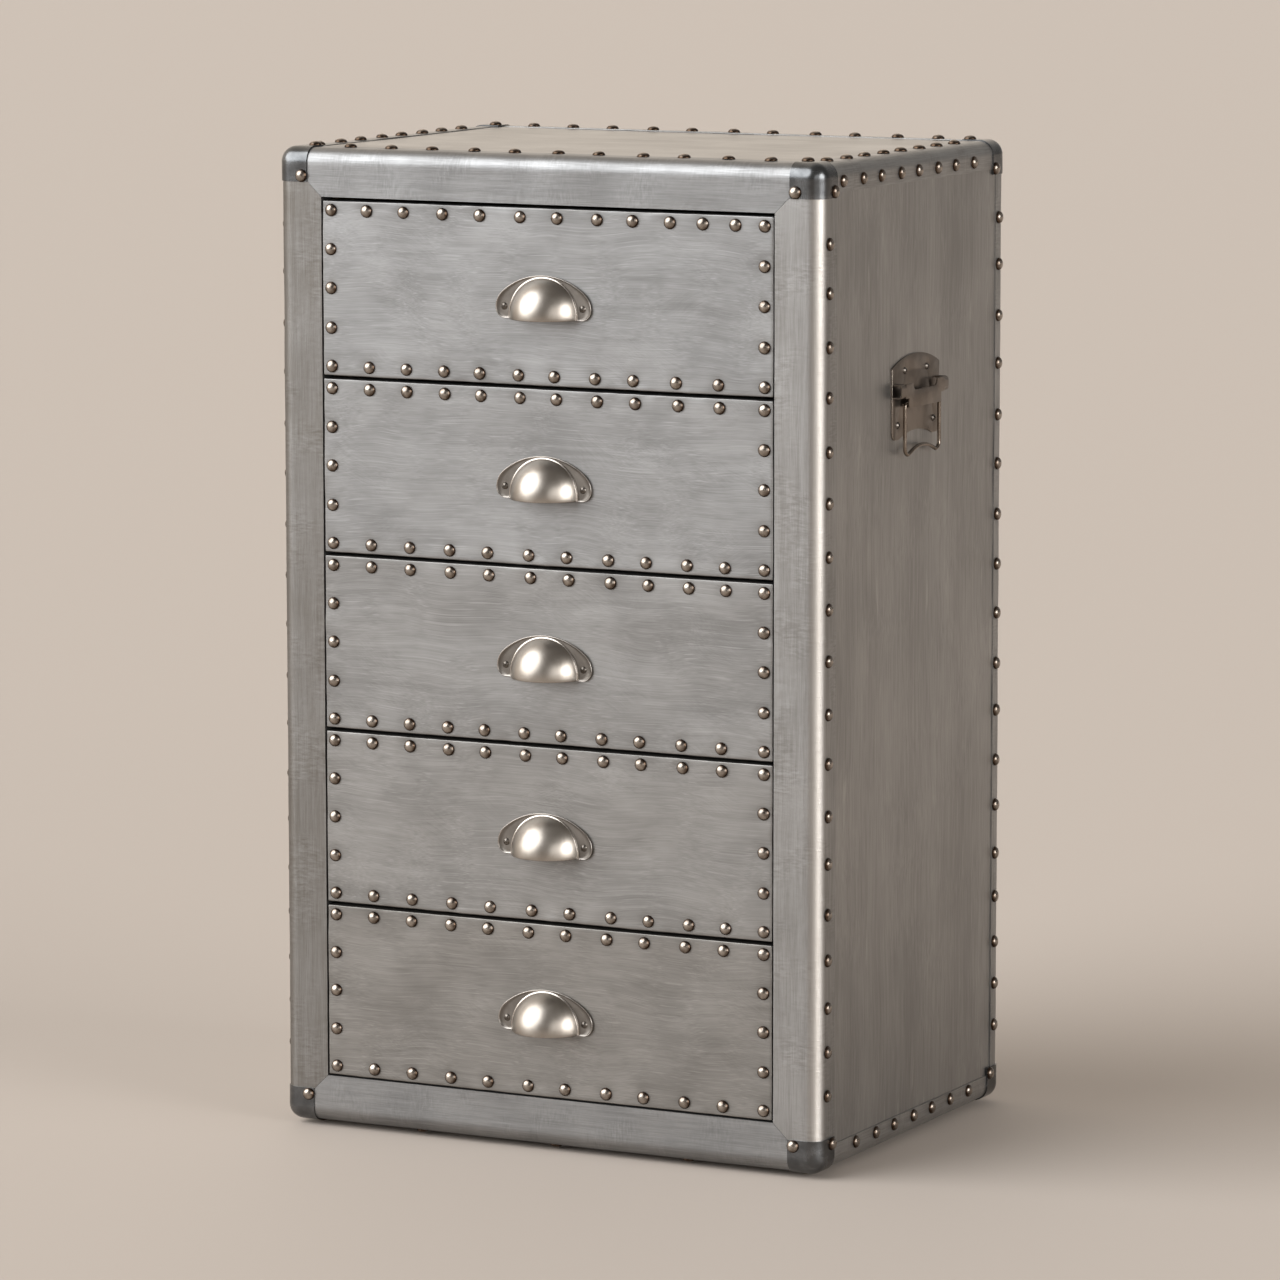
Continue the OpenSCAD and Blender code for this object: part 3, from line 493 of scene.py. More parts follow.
def tack_heads(node, material):
    """Hand-driven tacks: domes with a turned-in rim, each tipped, sized and flattened differently."""
    top, way = CROWNS[node]
    count = len(top)
    random = np.random.default_rng(count)
    base = top - TACK_H * way
    axis = unit(way + random.normal(0, TACK_TIP, (count, 3)))
    side = unit(np.cross(axis, np.roll(way, 1, axis=1)))
    radius = TACK_R * random.uniform(TACK_LEAST_R, 1.0, count)[:, None, None]
    height = TACK_H * random.uniform(TACK_LEAST_H, 1.0, count)[:, None, None]
    share = np.array(TACK_PROFILE)
    turn = np.arange(TACK_SIDES) * 2 * math.pi / TACK_SIDES + random.uniform(0, 1, count)[:, None]
    ring = (
        np.cos(turn)[..., None] * side[:, None] + np.sin(turn)[..., None] * np.cross(axis, side)[:, None]
    )
    rows = (
        base[:, None, None]
        + ring[:, None] * (share[:, 0, None] * radius)[..., None]
        + axis[:, None, None] * (share[:, 1, None] * height)[..., None]
    )
    crown = base + axis * height[:, 0]
    per_head = len(share) * TACK_SIDES + 1
    points = np.concatenate([rows.reshape(count, -1, 3), crown[:, None]], axis=1).reshape(-1, 3)
    number = np.arange(len(share) * TACK_SIDES).reshape(-1, TACK_SIDES)
    after = np.roll(number, -1, axis=1)
    wall = np.stack([number[:-1], after[:-1], after[1:], number[1:]], axis=-1).reshape(-1, 4)
    cap = np.stack([number[-1], after[-1], np.full(TACK_SIDES, per_head - 1)], axis=-1)
    faces = []
    for start in range(0, count * per_head, per_head):
        faces += (wall + start).tolist() + (cap + start).tolist() + [(number[0, ::-1] + start).tolist()]
    rise = np.append(np.repeat(share[:, 1], TACK_SIDES), 1.0)
    name, (body, _) = node.replace("tacks", "tack_heads"), TACK_NODES[node]
    shade = np.tile(rise, count)
    piece(name, body, points, faces, material, [node], shade, TACK_SHARP)


tack_metal = antique_tack()
for node in TACK_NODES:
    tack_heads(node, tack_metal)


# Folded sheet

# The radius of the body's edges and of a drawer sheet's folds, and the gap between mitred strips
EDGE_R, FOLD_R, SEAM = 12 * MM, 0.9 * MM, 0.3 * MM
STRIP_T, SKIN_T, CAP_T = 0.8 * MM, 0.6 * MM, 1.0 * MM
# How far the caps, the side strips and the rear strips reach in from the body's sides
CAP_REACH, UPPER_FLANGE, LOWER_FLANGE, REAR_FACE = 28 * MM, 24 * MM, 21.5 * MM, 19.4 * MM
# Steps between points: on strips, along front strips, on panels, on caps, on drawer faces and their folds
STRIP_STEP, FINE_STEP, PANEL_STEP, CAP_STEP = 3 * MM, 1.6 * MM, 4 * MM, 2.5 * MM
FACE_STEP, FOLD_STEP = 2.4 * MM, 4 * MM
# Soft waves in the sheets: their lengths, and their heights in millimetres
STRIP_WAVE, PANEL_WAVE, CAP_WAVE, DRAWER_WAVE = 75 * MM, 110 * MM, 26 * MM, (95 * MM, 1, 70 * MM)
STRIP_WAVE_MM, PANEL_WAVE_MM, CAP_WAVE_MM, DRAWER_WAVE_MM = 0.13, 0.16, 0.1, 0.17
# Panels lie this many millimetres deeper than the undersides of their strips
PANEL_SINK_MM = 0.1
# Dimples at the tacks: how far they reach, and how deep they are in millimetres
STRIP_DIMPLE, CAP_DIMPLE, DRAWER_DIMPLE = 6 * MM, 6 * MM, 6.5 * MM
STRIP_DIMPLE_MM, CAP_DIMPLE_MM, DRAWER_DIMPLE_MM = 0.25, 0.15, 0.3
# How far the wear at a tack reaches, and the painted shade along a drawer's folded edge
TACK_WEAR, FOLD_PAINTED_SHADE = 7.5 * MM, 2 * MM
# Crinkles of the front strips: their length, width and reach, the length of their patches, and their height
CRINKLE_LENGTH, CRINKLE_W, CRINKLE_REACH, CRINKLE_PATCH = 14 * MM, 5.5 * MM, 11 * MM, 60 * MM
CRINKLE_MM = 0.05
# Ripples of a drawer's folds: their length, their reach from the edge, and their height in millimetres
RIPPLE, RIPPLE_REACH, RIPPLE_MM = 17 * MM, 5 * MM, 0.11
# How far back from the face a drawer sheet's relief fades out
FOLD_FADE = 5 * MM
# The first seed of each kind of relief
REAR_SEED, EDGE_SEED, PANEL_SEED, CAP_SEED, DRAWER_SEED, RIPPLE_SEED = 50, 60, 80, 90, 100, 110
STRIPS = ["front_trim_top", "front_trim_bottom", "front_trim_left", "front_trim_right", "rear_trim"]


def extent(names):
    """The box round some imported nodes."""
    boxes = [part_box(name) for name in names]
    return np.min([low for low, _ in boxes], axis=0), np.max([high for _, high in boxes], axis=0)


def width(node, axis):
    """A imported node's size along an axis."""
    low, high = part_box(node)
    return high[axis] - low[axis]


BODY_LOW, BODY_HIGH = extent(STRIPS)
FRONT_WRAP, REAR_WRAP = width("front_trim_right", Y), width("rear_trim", Y)
STILE_W = width("front_trim_right", X)
TOP_RAIL, FOOT_RAIL = width("front_trim_top", Z), width("front_trim_bottom", Z)


def nearness(points, size):
    """How near each point is to a tack: 1 under a head, falling to 0 over about the size."""
    heads = np.concatenate([top - TACK_H * way for top, way in CROWNS.values()])
    low, high = points.min(axis=0) - 3 * size, points.max(axis=0) + 3 * size
    near = np.all((heads > low) & (heads < high), axis=1)
    total = np.zeros(len(points))
    for head in heads[near]:
        total += np.exp(-((points - head) ** 2).sum(axis=1) / size**2)
    return np.minimum(total, 1)


def side_of(side):
    """The coordinate of one side of the body."""
    axis, sign = side
    return (BODY_HIGH if sign > 0 else BODY_LOW)[axis]


def strip(face, wrap, widths, ends, seed, step=STRIP_STEP, crinkle_mm=0.0, brightened=False):
    """A strip folded over the body's edge between two sides, face and wrap.

    widths is its reach on each, and ends, at each end, the least distance from the body's end and the slope
    of the mitre across the face. Its relief is soft waves, dimples at the tacks, and crinkles along the
    face's inner edge. Returns the points, their faces and a share at each point for its finish: most at a
    tack, for wear, or on the bend, for painted shade; or, where it is brightened, only on the bend, for a
    painted highlight.
    """
    (a, a_sign), (b, b_sign) = face, wrap
    along = 3 - a - b
    on_face = from_edge(widths[0], EDGE_R, STRIP_STEP)
    on_wrap = from_edge(widths[1], EDGE_R, STRIP_STEP)[::-1][1:]
    from_wrap = np.concatenate([on_face, np.zeros(len(on_wrap))])
    from_face = np.concatenate([np.zeros(len(on_face)), on_wrap])
    low, high = (np.maximum(least, slope * from_wrap + SEAM / 2) for least, slope in ends)
    low, high = BODY_LOW[along] + low, BODY_HIGH[along] - high
    rows = math.ceil((high - low).max() / step) + 1
    place = np.empty((rows, len(from_wrap), 3))
    place[..., along] = low + np.linspace(0, 1, rows)[:, None] * (high - low)
    place[..., b] = side_of(wrap) - b_sign * from_wrap
    place[..., a] = side_of(face) - a_sign * from_face
    points, normals = rounded(place.reshape(-1, 3), BODY_LOW, BODY_HIGH, EDGE_R)
    faces = outward(points, normals, quads(rows, len(from_wrap)))
    relief = STRIP_WAVE_MM * waves(points, STRIP_WAVE, seed)
    relief -= STRIP_DIMPLE_MM * nearness(points, STRIP_DIMPLE)
    if crinkle_mm:
        # How far in from the face's inner edge, with the fold's other side too far off to crinkle
        inner = np.tile(np.where(from_face > 0, 1.0, widths[0] - from_wrap), rows)
        size = [CRINKLE_LENGTH] * 3
        size[along] = CRINKLE_W
        patch = 0.5 + 0.5 * np.tanh(1.5 * waves(points, CRINKLE_PATCH, seed + 2))
        crinkles = patch * waves(points, size, seed + 1, 30)
        relief += crinkle_mm * crinkles * np.exp(-((inner / CRINKLE_REACH) ** 2))
    points = raised(points, normals, relief)
    bend = np.tile(np.clip(1 - np.maximum(from_wrap, from_face) / EDGE_R, 0, 1), rows)
    # Only the bend where the strip carries a painted highlight; elsewhere wear round the tacks and painted
    # shade on the bend
    wear_and_painted_light = bend if brightened else np.maximum(nearness(points, TACK_WEAR), 0.8 * bend)
    points, faces = walled(points, normals, faces, STRIP_T)
    return points, faces, np.tile(wear_and_painted_light, 2)


def together(shells):
    """Several closed shells as one: their points, faces and shades."""
    starts = np.cumsum([0] + [len(points) for points, _, _ in shells])
    points = np.concatenate([points for points, _, _ in shells])
    faces = np.concatenate([faces + start for (_, faces, _), start in zip(shells, starts)])
    return points, faces, np.concatenate([shade for _, _, shade in shells])


def sheet_piece(name, shells, material, node):
    """A piece of the cabinet's cladding, made of closed shells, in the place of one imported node."""
    points, faces, shade = together(shells)
    piece(name, "cabinet", points, faces, material, [node], shade)


def mitred(slope):
    """A strip's end that stops at the round corner and is cut at a slope."""
    return (EDGE_R, slope)


rail_sheet = strip_sheet("rail_sheet", X, 0.255, 0.008)
# The left stile's sheet is darker and warmer than the rail's and the right stile's: painted shade and a
# painted reflection of a warm floor
left_stile_sheet = strip_sheet("left_stile_sheet", Z, 0.2, 0.09, shift=60)
# The right stile's sheet is warmer than the rail's, a painted reflection of a warm floor, and its bend is
# painted at twice its level: a painted highlight
right_stile_sheet = strip_sheet("right_stile_sheet", Z, 0.29, 0.045, shift=60, wear_and_painted_light=2.0, wear_and_light_share=0.75)
across_rail = [mitred(STILE_W / TOP_RAIL)] * 2
across_foot = [mitred(STILE_W / FOOT_RAIL)] * 2
upright = [mitred(FOOT_RAIL / STILE_W), mitred(TOP_RAIL / STILE_W)]
FRONT_STRIPS = {
    "top": (TOP, TOP_RAIL, across_rail, rail_sheet),
    "bottom": (FOOT, FOOT_RAIL, across_foot, rail_sheet),
    "left": (LEFT, STILE_W, upright, left_stile_sheet),
    "right": (RIGHT, STILE_W, upright, right_stile_sheet),
}
for number, (place, (side, reach, ends, metal)) in enumerate(FRONT_STRIPS.items()):
    shell = strip(FRONT, side, (reach, FRONT_WRAP), ends, 10 * number, FINE_STEP, CRINKLE_MM, side == RIGHT)
    sheet_piece(f"front_strip_{place}", [shell], metal, f"front_trim_{place}")
rear = [
    strip(BACK, side, (REAR_FACE, REAR_WRAP), [mitred(1)] * 2, REAR_SEED + turn)
    for turn, side in enumerate((FOOT, RIGHT, TOP, LEFT))
]
rear_strip = strip_sheet("rear_strip", Z, 0.32, 0.03, shift=180)
sheet_piece("rear_strips", rear, rear_strip, "rear_trim")
edges = [
    strip(side, end, (reach, reach), [(FRONT_WRAP, 0), (REAR_WRAP, 0)], first + turn)
    for side, first in ((RIGHT, EDGE_SEED), (LEFT, EDGE_SEED + 2))
    for turn, (end, reach) in enumerate(((TOP, UPPER_FLANGE), (FOOT, LOWER_FLANGE)))
]
side_strip = strip_sheet("side_strip", Y, 0.34, 0.045, shift=120)
sheet_piece("side_strips", edges, side_strip, "side_trim")


def panel(side, seed):
    """A flat sheet on one side of the body, under the strips, with soft waves."""
    axis, sign = side
    u, v = [other for other in (X, Y, Z) if other != axis]
    low, high = BODY_LOW + EDGE_R, BODY_HIGH - EDGE_R
    along, across = (np.arange(low[i], high[i] + PANEL_STEP / 2, PANEL_STEP) for i in (u, v))
    along[-1], across[-1] = high[u], high[v]
    place = np.empty((len(along), len(across), 3))
    place[..., u], place[..., v] = along[:, None], across
    place[..., axis] = side_of(side) - sign * STRIP_T
    points = place.reshape(-1, 3)
    normals = np.zeros_like(points)
    normals[:, axis] = sign
    faces = outward(points, normals, quads(len(along), len(across)))
    relief = PANEL_WAVE_MM * waves(points, PANEL_WAVE, seed) - PANEL_SINK_MM
    points = raised(points, normals, relief)
    points, faces = walled(points, normals, faces, SKIN_T)
    return points, faces, np.zeros(len(points))


side_panels = [panel(LEFT, PANEL_SEED), panel(RIGHT, PANEL_SEED + 1)]
side_sheet = panel_sheet("side_sheet", Z, 0.315, 0.045)
# The top sheet is lighter than the side sheets: painted light on the top
top_sheet = panel_sheet("top_sheet", X, 0.4, 0.055)
sheet_piece("side_sheets", side_panels, side_sheet, "panel_skins")
sheet_piece("top_sheet", [panel(TOP, PANEL_SEED + 2)], top_sheet, "panel_skins")


def corner_cap(x, y, z):
    """A pressed cap: three square faces that meet in a ball corner, a cap's thickness outside the body.

    x, y and z are the signs of its corner.
    """
    low, high = BODY_LOW - CAP_T, BODY_HIGH + CAP_T
    corner = np.array([(high if sign > 0 else low)[axis] for axis, sign in enumerate((x, y, z))])
    reach = from_edge(CAP_REACH + CAP_T, EDGE_R + CAP_T, CAP_STEP, 7)
    patches = []
    for axis in (X, Y, Z):
        inward = np.zeros((len(reach), len(reach), 3))
        u, v = [other for other in (X, Y, Z) if other != axis]
        inward[..., u], inward[..., v] = reach[:, None], reach
        patches.append(corner - inward * np.array((x, y, z)))
    place, faces = joined(patches)
    points, normals = rounded(place, low, high, EDGE_R + CAP_T)
    faces = outward(points, normals, faces)
    seed = CAP_SEED + 4 * x + 2 * y + z
    relief = CAP_WAVE_MM * waves(points, CAP_WAVE, seed) - CAP_DIMPLE_MM * nearness(points, CAP_DIMPLE)
    points = raised(points, normals, relief)
    points, faces = walled(points, normals, faces, CAP_T)
    return points, faces, np.zeros(len(points))


caps = [corner_cap(x, y, z) for x in (-1, 1) for y in (-1, 1) for z in (-1, 1)]
sheet_piece("pressed_caps", caps, polished_cap(), "corner_caps")


def both_ways(low, high, radius, step, turns=4):
    """Places from low to high, closer together near both ends, where the edges are round."""
    half = from_edge((high - low) / 2, radius, step, turns)
    return np.concatenate([low + half[::-1], high - half[1:]])


def box_side(x, y, z):
    """The grid of points on one side of a box: two of x, y and z are rows of places, and one is a number."""
    places = [np.atleast_1d(axis) for axis in (x, y, z)]
    flat = [len(axis) for axis in places].index(1)
    grid = np.stack(np.meshgrid(*places, indexing="ij"), axis=-1)
    return np.squeeze(grid, axis=flat)


def drawer_sheet_piece(n, material):
    """A drawer's sheet: the face and four folded sides, with dimples, soft dents and rippled folds."""
    low, high = (np.array(corner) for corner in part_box(f"drawer_{n}_skin"))
    across = both_ways(low[X], high[X], FOLD_R, FACE_STEP)
    up = both_ways(low[Z], high[Z], FOLD_R, FACE_STEP)
    back = low[Y] + from_edge(high[Y] - low[Y], FOLD_R, FOLD_STEP, 4)[::-1]
    face = box_side(across, low[Y], up)
    left, right = box_side(low[X], back, up), box_side(high[X], back, up)
    under, over = box_side(across, back, low[Z]), box_side(across, back, high[Z])
    place, faces = joined([face, left, right, under, over])
    # With its back out of reach, the box is rounded at the face alone
    points, normals = rounded(place, low, high + (0, 1, 0), FOLD_R)
    faces = outward(points, normals, faces)
    on_face = np.clip(1 - (points[:, Y] - low[Y]) / FOLD_FADE, 0, 1)
    inside = np.minimum(points - low, high - points)
    edge = np.minimum(inside[:, X], inside[:, Z])
    # Wear round the tacks, and painted shade along the folded edges beside the gaps
    wear_and_painted_light = np.maximum(nearness(points, TACK_WEAR), 0.9 * np.exp(-((edge / FOLD_PAINTED_SHADE) ** 2)))
    dents = DRAWER_WAVE_MM * waves(points, DRAWER_WAVE, DRAWER_SEED + n)
    ripples = RIPPLE_MM * waves(points, RIPPLE, RIPPLE_SEED + n, 24) * np.exp(-((edge / RIPPLE_REACH) ** 2))
    dimples = DRAWER_DIMPLE_MM * nearness(points, DRAWER_DIMPLE)
    points = raised(points, normals, (dents + ripples - dimples) * on_face)
    points, faces = walled(points, normals, faces, SKIN_T)
    replaced = [f"drawer_{n}_skin"]
    shade = np.tile(wear_and_painted_light, 2)
    piece(f"drawer_{n}_sheet", f"drawer_{n}", points, faces, material, replaced, shade)


# The level and warmth of each drawer's sheet, from the top drawer down: darker and warmer towards the
# bottom, painted shade and a painted reflection of a warm floor
SHEET_TONES_WITH_PAINTED_SHADE = [(0.27, 0.004), (0.268, 0.008), (0.254, 0.022), (0.244, 0.034), (0.216, 0.055)]
for n, (level, warmth) in zip(DRAWERS, SHEET_TONES_WITH_PAINTED_SHADE):
    drawer_sheet_piece(n, drawer_sheet(f"drawer_{n}_sheet", level, warmth))


# Pulls and handles

PULL_W, PULL_UP, PULL_DOWN, PULL_END_R = 88 * MM, 27.4 * MM, 8.6 * MM, 18 * MM
PULL_T, RIM_W, RIM_H = 1.4 * MM, 1.1 * MM, 0.8 * MM
CUP_HALF, CUP_DEPTH, CUP_DROP, CUP_T = 31.5 * MM, 24 * MM, 3 * MM, 1.4 * MM
# Points along each arc of the flange's outline, from the cup's tip to its ledge, and over the cup
END_POINTS, CROWN_POINTS, BALL_POINTS, CUP_TURNS = 14, 36, 22, 49
# The height at which the cup's ball ends in a ledge, and the ledge's points from there: how far out and up
CUP_STEP_Z = PULL_T + 1.3 * MM
CUP_LEDGE = [
    (0.1 * MM, -0.22 * MM),
    (0.35 * MM, -0.34 * MM),
    (0.85 * MM, -0.4 * MM),
    (1.1 * MM, -0.6 * MM),
    (1.2 * MM, -1.1 * MM),
]
# How far above and below the ledge it is painted bright: a painted highlight
LEDGE_HIGHLIGHT = 0.25 * MM
PULL_LIFT = (PULL_DOWN - PULL_UP) / 2


def arc(centre, radius, start, end, count):
    """Points of an arc in the plane, between two angles in degrees."""
    turn = np.radians(np.linspace(start, end, count))
    return np.array(centre) + radius * np.stack([np.cos(turn), np.sin(turn)], axis=1)


def pull_outline(inset):
    """The flange's outline, inset, from the cup's right foot anticlockwise to its left foot.

    Two small corners, two ends and a crown, each an arc that runs smoothly into the next.
    """
    end_x = PULL_W / 2 - PULL_END_R
    crown_r = (end_x**2 + PULL_UP**2 - PULL_END_R**2) / (2 * (PULL_UP - PULL_END_R))
    crown_y = PULL_UP - crown_r
    meet = math.degrees(math.atan2(-crown_y, end_x))
    foot = PULL_W / 2 - PULL_DOWN
    corner = arc((foot, 0), PULL_DOWN - inset, -90, 0, END_POINTS)
    end = arc((end_x, 0), PULL_END_R - inset, 0, meet, END_POINTS)[1:]
    half_crown = arc((0, crown_y), crown_r - inset, meet, 90, CROWN_POINTS)[1:]
    start = np.array([[CUP_HALF - CUP_T / 2, inset - PULL_DOWN]])
    right = np.concatenate([start, corner, end, half_crown])
    return np.concatenate([right, (right * (-1, 1))[-2::-1]])


def ringed(rows):
    """Faces between the rows of a closed loop of rows, each a line of points."""
    number = np.arange(rows.shape[0] * rows.shape[1]).reshape(rows.shape[:2])
    number = np.concatenate([number, number[:1]])
    corners = [number[:-1, :-1], number[:-1, 1:], number[1:, 1:], number[1:, :-1]]
    return np.stack(corners, axis=-1).reshape(-1, 4)


def at_height(flat, height):
    """Points of the plane, all lifted to one height."""
    return np.column_stack([flat, np.full(len(flat), height)])


def pull_flange():
    """The flange: its outline carried up a rounded rim and down to the recess, and in to the cup's foot."""
    top = PULL_T + RIM_H
    r = RIM_H / 2
    # Up the outside, over the rim and down to the recess: the inset, the height and how bright it is, rubbed
    # bright with a painted highlight on the rim
    profile = [
        (0.0, 0.0, 0),
        (0.0, top - r, 0.5),
        (0.13 * r, top - 0.5 * r, 1),
        (0.5 * r, top - 0.13 * r, 1),
        (r, top, 1),
        (1.35 * r, top - 0.1 * r, 1),
        (RIM_W, PULL_T + 0.35 * r, 0.4),
        (RIM_W + 0.5 * r, PULL_T, 0),
    ]
    lines = [at_height(pull_outline(inset), height) for inset, height, _ in profile]
    recess = lines[-1][:, :2]
    count = len(recess)
    right_foot, left_foot = (CUP_HALF, recess[0, 1]), (-CUP_HALF, recess[0, 1])
    over_cup = arc((0, CUP_DROP - PULL_DOWN), CUP_HALF, 0, 180, count - 2)
    cup_line = np.concatenate([[right_foot], over_cup, [left_foot]])
    for share in (0.33, 0.66, 1.0):
        lines.append(at_height((1 - share) * recess + share * cup_line, PULL_T))
    lines.append(at_height(cup_line, 0.0))
    brightened = np.zeros(len(lines))
    brightened[: len(profile)] = [share for _, _, share in profile]
    rows = np.stack(lines)
    return rows.reshape(-1, 3), ringed(rows), np.repeat(brightened, count)


def pull_cup():
    """The cup: half a ball over a short straight foot, with a ledge round its base and a rounded lip.

    A profile from the tip to the base is turned from the right foot over the top to the left, outside and
    then inside, and the lip's half round joins the two walls.
    """
    ball_r = (CUP_HALF**2 + CUP_DEPTH**2) / (2 * CUP_DEPTH)
    sunk = ball_r - CUP_DEPTH
    last = math.acos((CUP_STEP_Z + sunk) / ball_r)
    turn = np.linspace(0, last, BALL_POINTS)
    ledge = CUP_LEDGE + [(CUP_LEDGE[-1][0], -CUP_STEP_Z)]
    out = np.append(ball_r * np.sin(turn), [ball_r * math.sin(last) + beyond for beyond, _ in ledge])
    height = np.append(ball_r * np.cos(turn) - sunk, [CUP_STEP_Z + rise for _, rise in ledge])
    inner_r = ball_r - CUP_T
    inner_turn = np.linspace(0, math.acos(sunk / inner_r), len(out))
    in_out, in_height = inner_r * np.sin(inner_turn), inner_r * np.cos(inner_turn) - sunk
    foot_y = CUP_DROP - PULL_DOWN
    lip_r = CUP_T / 2

    def wall(radius, up):
        """The profile turned over the top, with both ends carried straight down to the lip."""
        turns = np.radians(np.concatenate([[0], np.linspace(0, 180, CUP_TURNS), [180]]))
        drop = np.zeros(len(turns))
        drop[[0, -1]] = CUP_DROP - lip_r
        return [
            np.stack([radius * math.cos(a), foot_y - d + radius * math.sin(a), up], axis=1)
            for a, d in zip(turns, drop)
        ]

    def lip(start, end):
        """The half round from one wall's edge to the other's, below the foot."""
        middle, half = (start + end) / 2, (start - end) / 2
        bends = np.radians((30, 60, 90, 120, 150))
        return [middle + half * math.cos(a) + np.array((0, -lip_r * math.sin(a), 0)) for a in bends]

    outer, inner = wall(out, height), wall(in_out, in_height)
    rows = np.stack(outer + lip(outer[-1], inner[-1]) + inner[::-1] + lip(inner[0], outer[0]))
    # The ledge and the lip are painted bright: painted highlights
    ledge_z = CUP_STEP_Z + CUP_LEDGE[2][1]
    at_ledge = np.abs(rows[..., 2] - ledge_z) < LEDGE_HIGHLIGHT
    at_lip = np.arange(len(rows)) >= len(outer) + len(inner)
    return rows.reshape(-1, 3), ringed(rows), (at_ledge | at_lip[:, None]).reshape(-1).astype(float)


def close_up(made):
    """Merges a piece's equal points, closes what is still open and turns its faces outwards."""
    mesh = bmesh.new()
    mesh.from_mesh(made.data)
    bmesh.ops.remove_doubles(mesh, verts=mesh.verts, dist=MERGE)
    bmesh.ops.dissolve_degenerate(mesh, edges=mesh.edges, dist=LEAST_EDGE)
    bmesh.ops.holes_fill(mesh, edges=[edge for edge in mesh.edges if edge.is_boundary], sides=0)
    bmesh.ops.recalc_face_normals(mesh, faces=mesh.faces)
    mesh.to_mesh(made.data)
    mesh.free()
    made.data.shade_smooth()
    made.data.set_sharp_from_angle(angle=math.radians(SHARP))


def cup_pull(n, cup_material, flange_material):
    """A drawer's pull, on the middle of its face."""
    low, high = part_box(f"drawer_{n}_skin")
    place = np.array(((low[X] + high[X]) / 2, low[Y], (low[Z] + high[Z]) / 2 + PULL_LIFT))
    body = f"drawer_{n}"
    parts = (("flange", pull_flange(), flange_material), ("cup", pull_cup(), cup_material))
    for part, (points, faces, brightened), material in parts:
        points = np.stack([points[:, 0], -points[:, 2], points[:, 1]], axis=1) + place
        name = f"{body}_pull_{part}"
        close_up(piece(name, body, points, faces, material, [f"{body}_pull"], brightened))


WORN_EDGE = 0.4 * MM


def from_least(corners):
    """A face's corners in the same turn, from its least point number on."""
    first = corners.index(min(corners))
    return corners[first:] + corners[:first]


def worn_copy(node, body, material):
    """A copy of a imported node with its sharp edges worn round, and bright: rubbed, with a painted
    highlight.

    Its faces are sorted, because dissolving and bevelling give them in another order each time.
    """
    mesh = bmesh.new()
    mesh.from_mesh(nodes[node].data)
    bmesh.ops.remove_doubles(mesh, verts=mesh.verts, dist=PACKED_MERGE)
    bmesh.ops.dissolve_limit(mesh, angle_limit=math.radians(1), verts=mesh.verts, edges=mesh.edges)
    least = math.radians(SHARP)
    sharp = [edge for edge in mesh.edges if edge.is_manifold and edge.calc_face_angle() > least]
    brightened = mesh.faces.layers.float.new("shade")
    wear_and_painted_light = bmesh.ops.bevel(
        mesh, geom=sharp, offset=WORN_EDGE, segments=2, profile=0.5, affect="EDGES", clamp_overlap=True
    )
    # The bevel's faces are painted bright: rubbed edges with a painted highlight
    for face in wear_and_painted_light["faces"]:
        face[brightened] = 1.0
    bmesh.ops.triangulate(mesh, faces=mesh.faces)
    data = bpy.data.meshes.new(f"worn_{node}")
    mesh.to_mesh(data)
    mesh.free()
    points = np.empty(len(data.vertices) * 3)
    data.vertices.foreach_get("co", points)
    shade = np.empty(len(data.polygons))
    data.attributes["shade"].data.foreach_get("value", shade)
    corners = [from_least(tuple(face.vertices)) for face in data.polygons]
    faces, shade = zip(*sorted(zip(corners, shade)))
    piece(f"{node}_worn", body, points.reshape(-1, 3), faces, material, [node], shade, WORN_SHARP)


# The cup's ledge and lip, and the flange's rim, take the rim colours: rubbed bright, with painted highlights
cup_nickel = satin_nickel("cup_nickel", (0.31, 0.275, 0.24, 1), (0.43, 0.39, 0.345, 1), 0.33, 0.7)
flange_nickel = satin_nickel(
    "flange_nickel", (0.13, 0.115, 0.1, 1), (0.21, 0.19, 0.17, 1), 0.4, 0.6, (0.38, 0.35, 0.32, 1)
)
for n in DRAWERS:
    cup_pull(n, cup_nickel, flange_nickel)
worn_copy("handle_plates", "cabinet", handle_nickel)
worn_copy("handle_straps", "cabinet", handle_nickel)

WIRE_R = 1.6 * MM
LEG_HALF, BAIL_DROP, BAIL_RISE = 33.5 * MM, 42 * MM, 6 * MM
BAIL_TOP_R, BAIL_LOW_R = 2.5 * MM, 6 * MM
# Points round the wire, and along half its path: the upper bend, the leg, the lower bend and the grip
WIRE_SIDES, TOP_POINTS, LEG_POINTS, LOW_POINTS, BOW_POINTS = 16, 7, 9, 13, 9


def bail_path():
    """The middle line of the wire loop: along the hinge bar, round the legs and over the bowed grip."""
    reach = LEG_HALF - BAIL_LOW_R
    span = (reach**2 + BAIL_RISE**2) / (2 * BAIL_RISE)
    lean = math.degrees(math.asin(reach / span))
    bow_y = BAIL_RISE - BAIL_DROP - (span - BAIL_LOW_R)
    top = arc((LEG_HALF - BAIL_TOP_R, -BAIL_TOP_R), BAIL_TOP_R, 90, 0, TOP_POINTS)
    leg = np.linspace(top[-1], (LEG_HALF, BAIL_LOW_R - BAIL_DROP), LEG_POINTS)[1:-1]
    low = arc((reach, BAIL_LOW_R - BAIL_DROP), BAIL_LOW_R, 0, -90 - lean, LOW_POINTS)
    bow = arc((0, bow_y), span - BAIL_LOW_R, 90 - lean, 90, BOW_POINTS)[1:]
    right = np.concatenate([[[0, 0]], top, leg, low, bow])
    return np.concatenate([right, (right * (-1, 1))[-2:0:-1]])


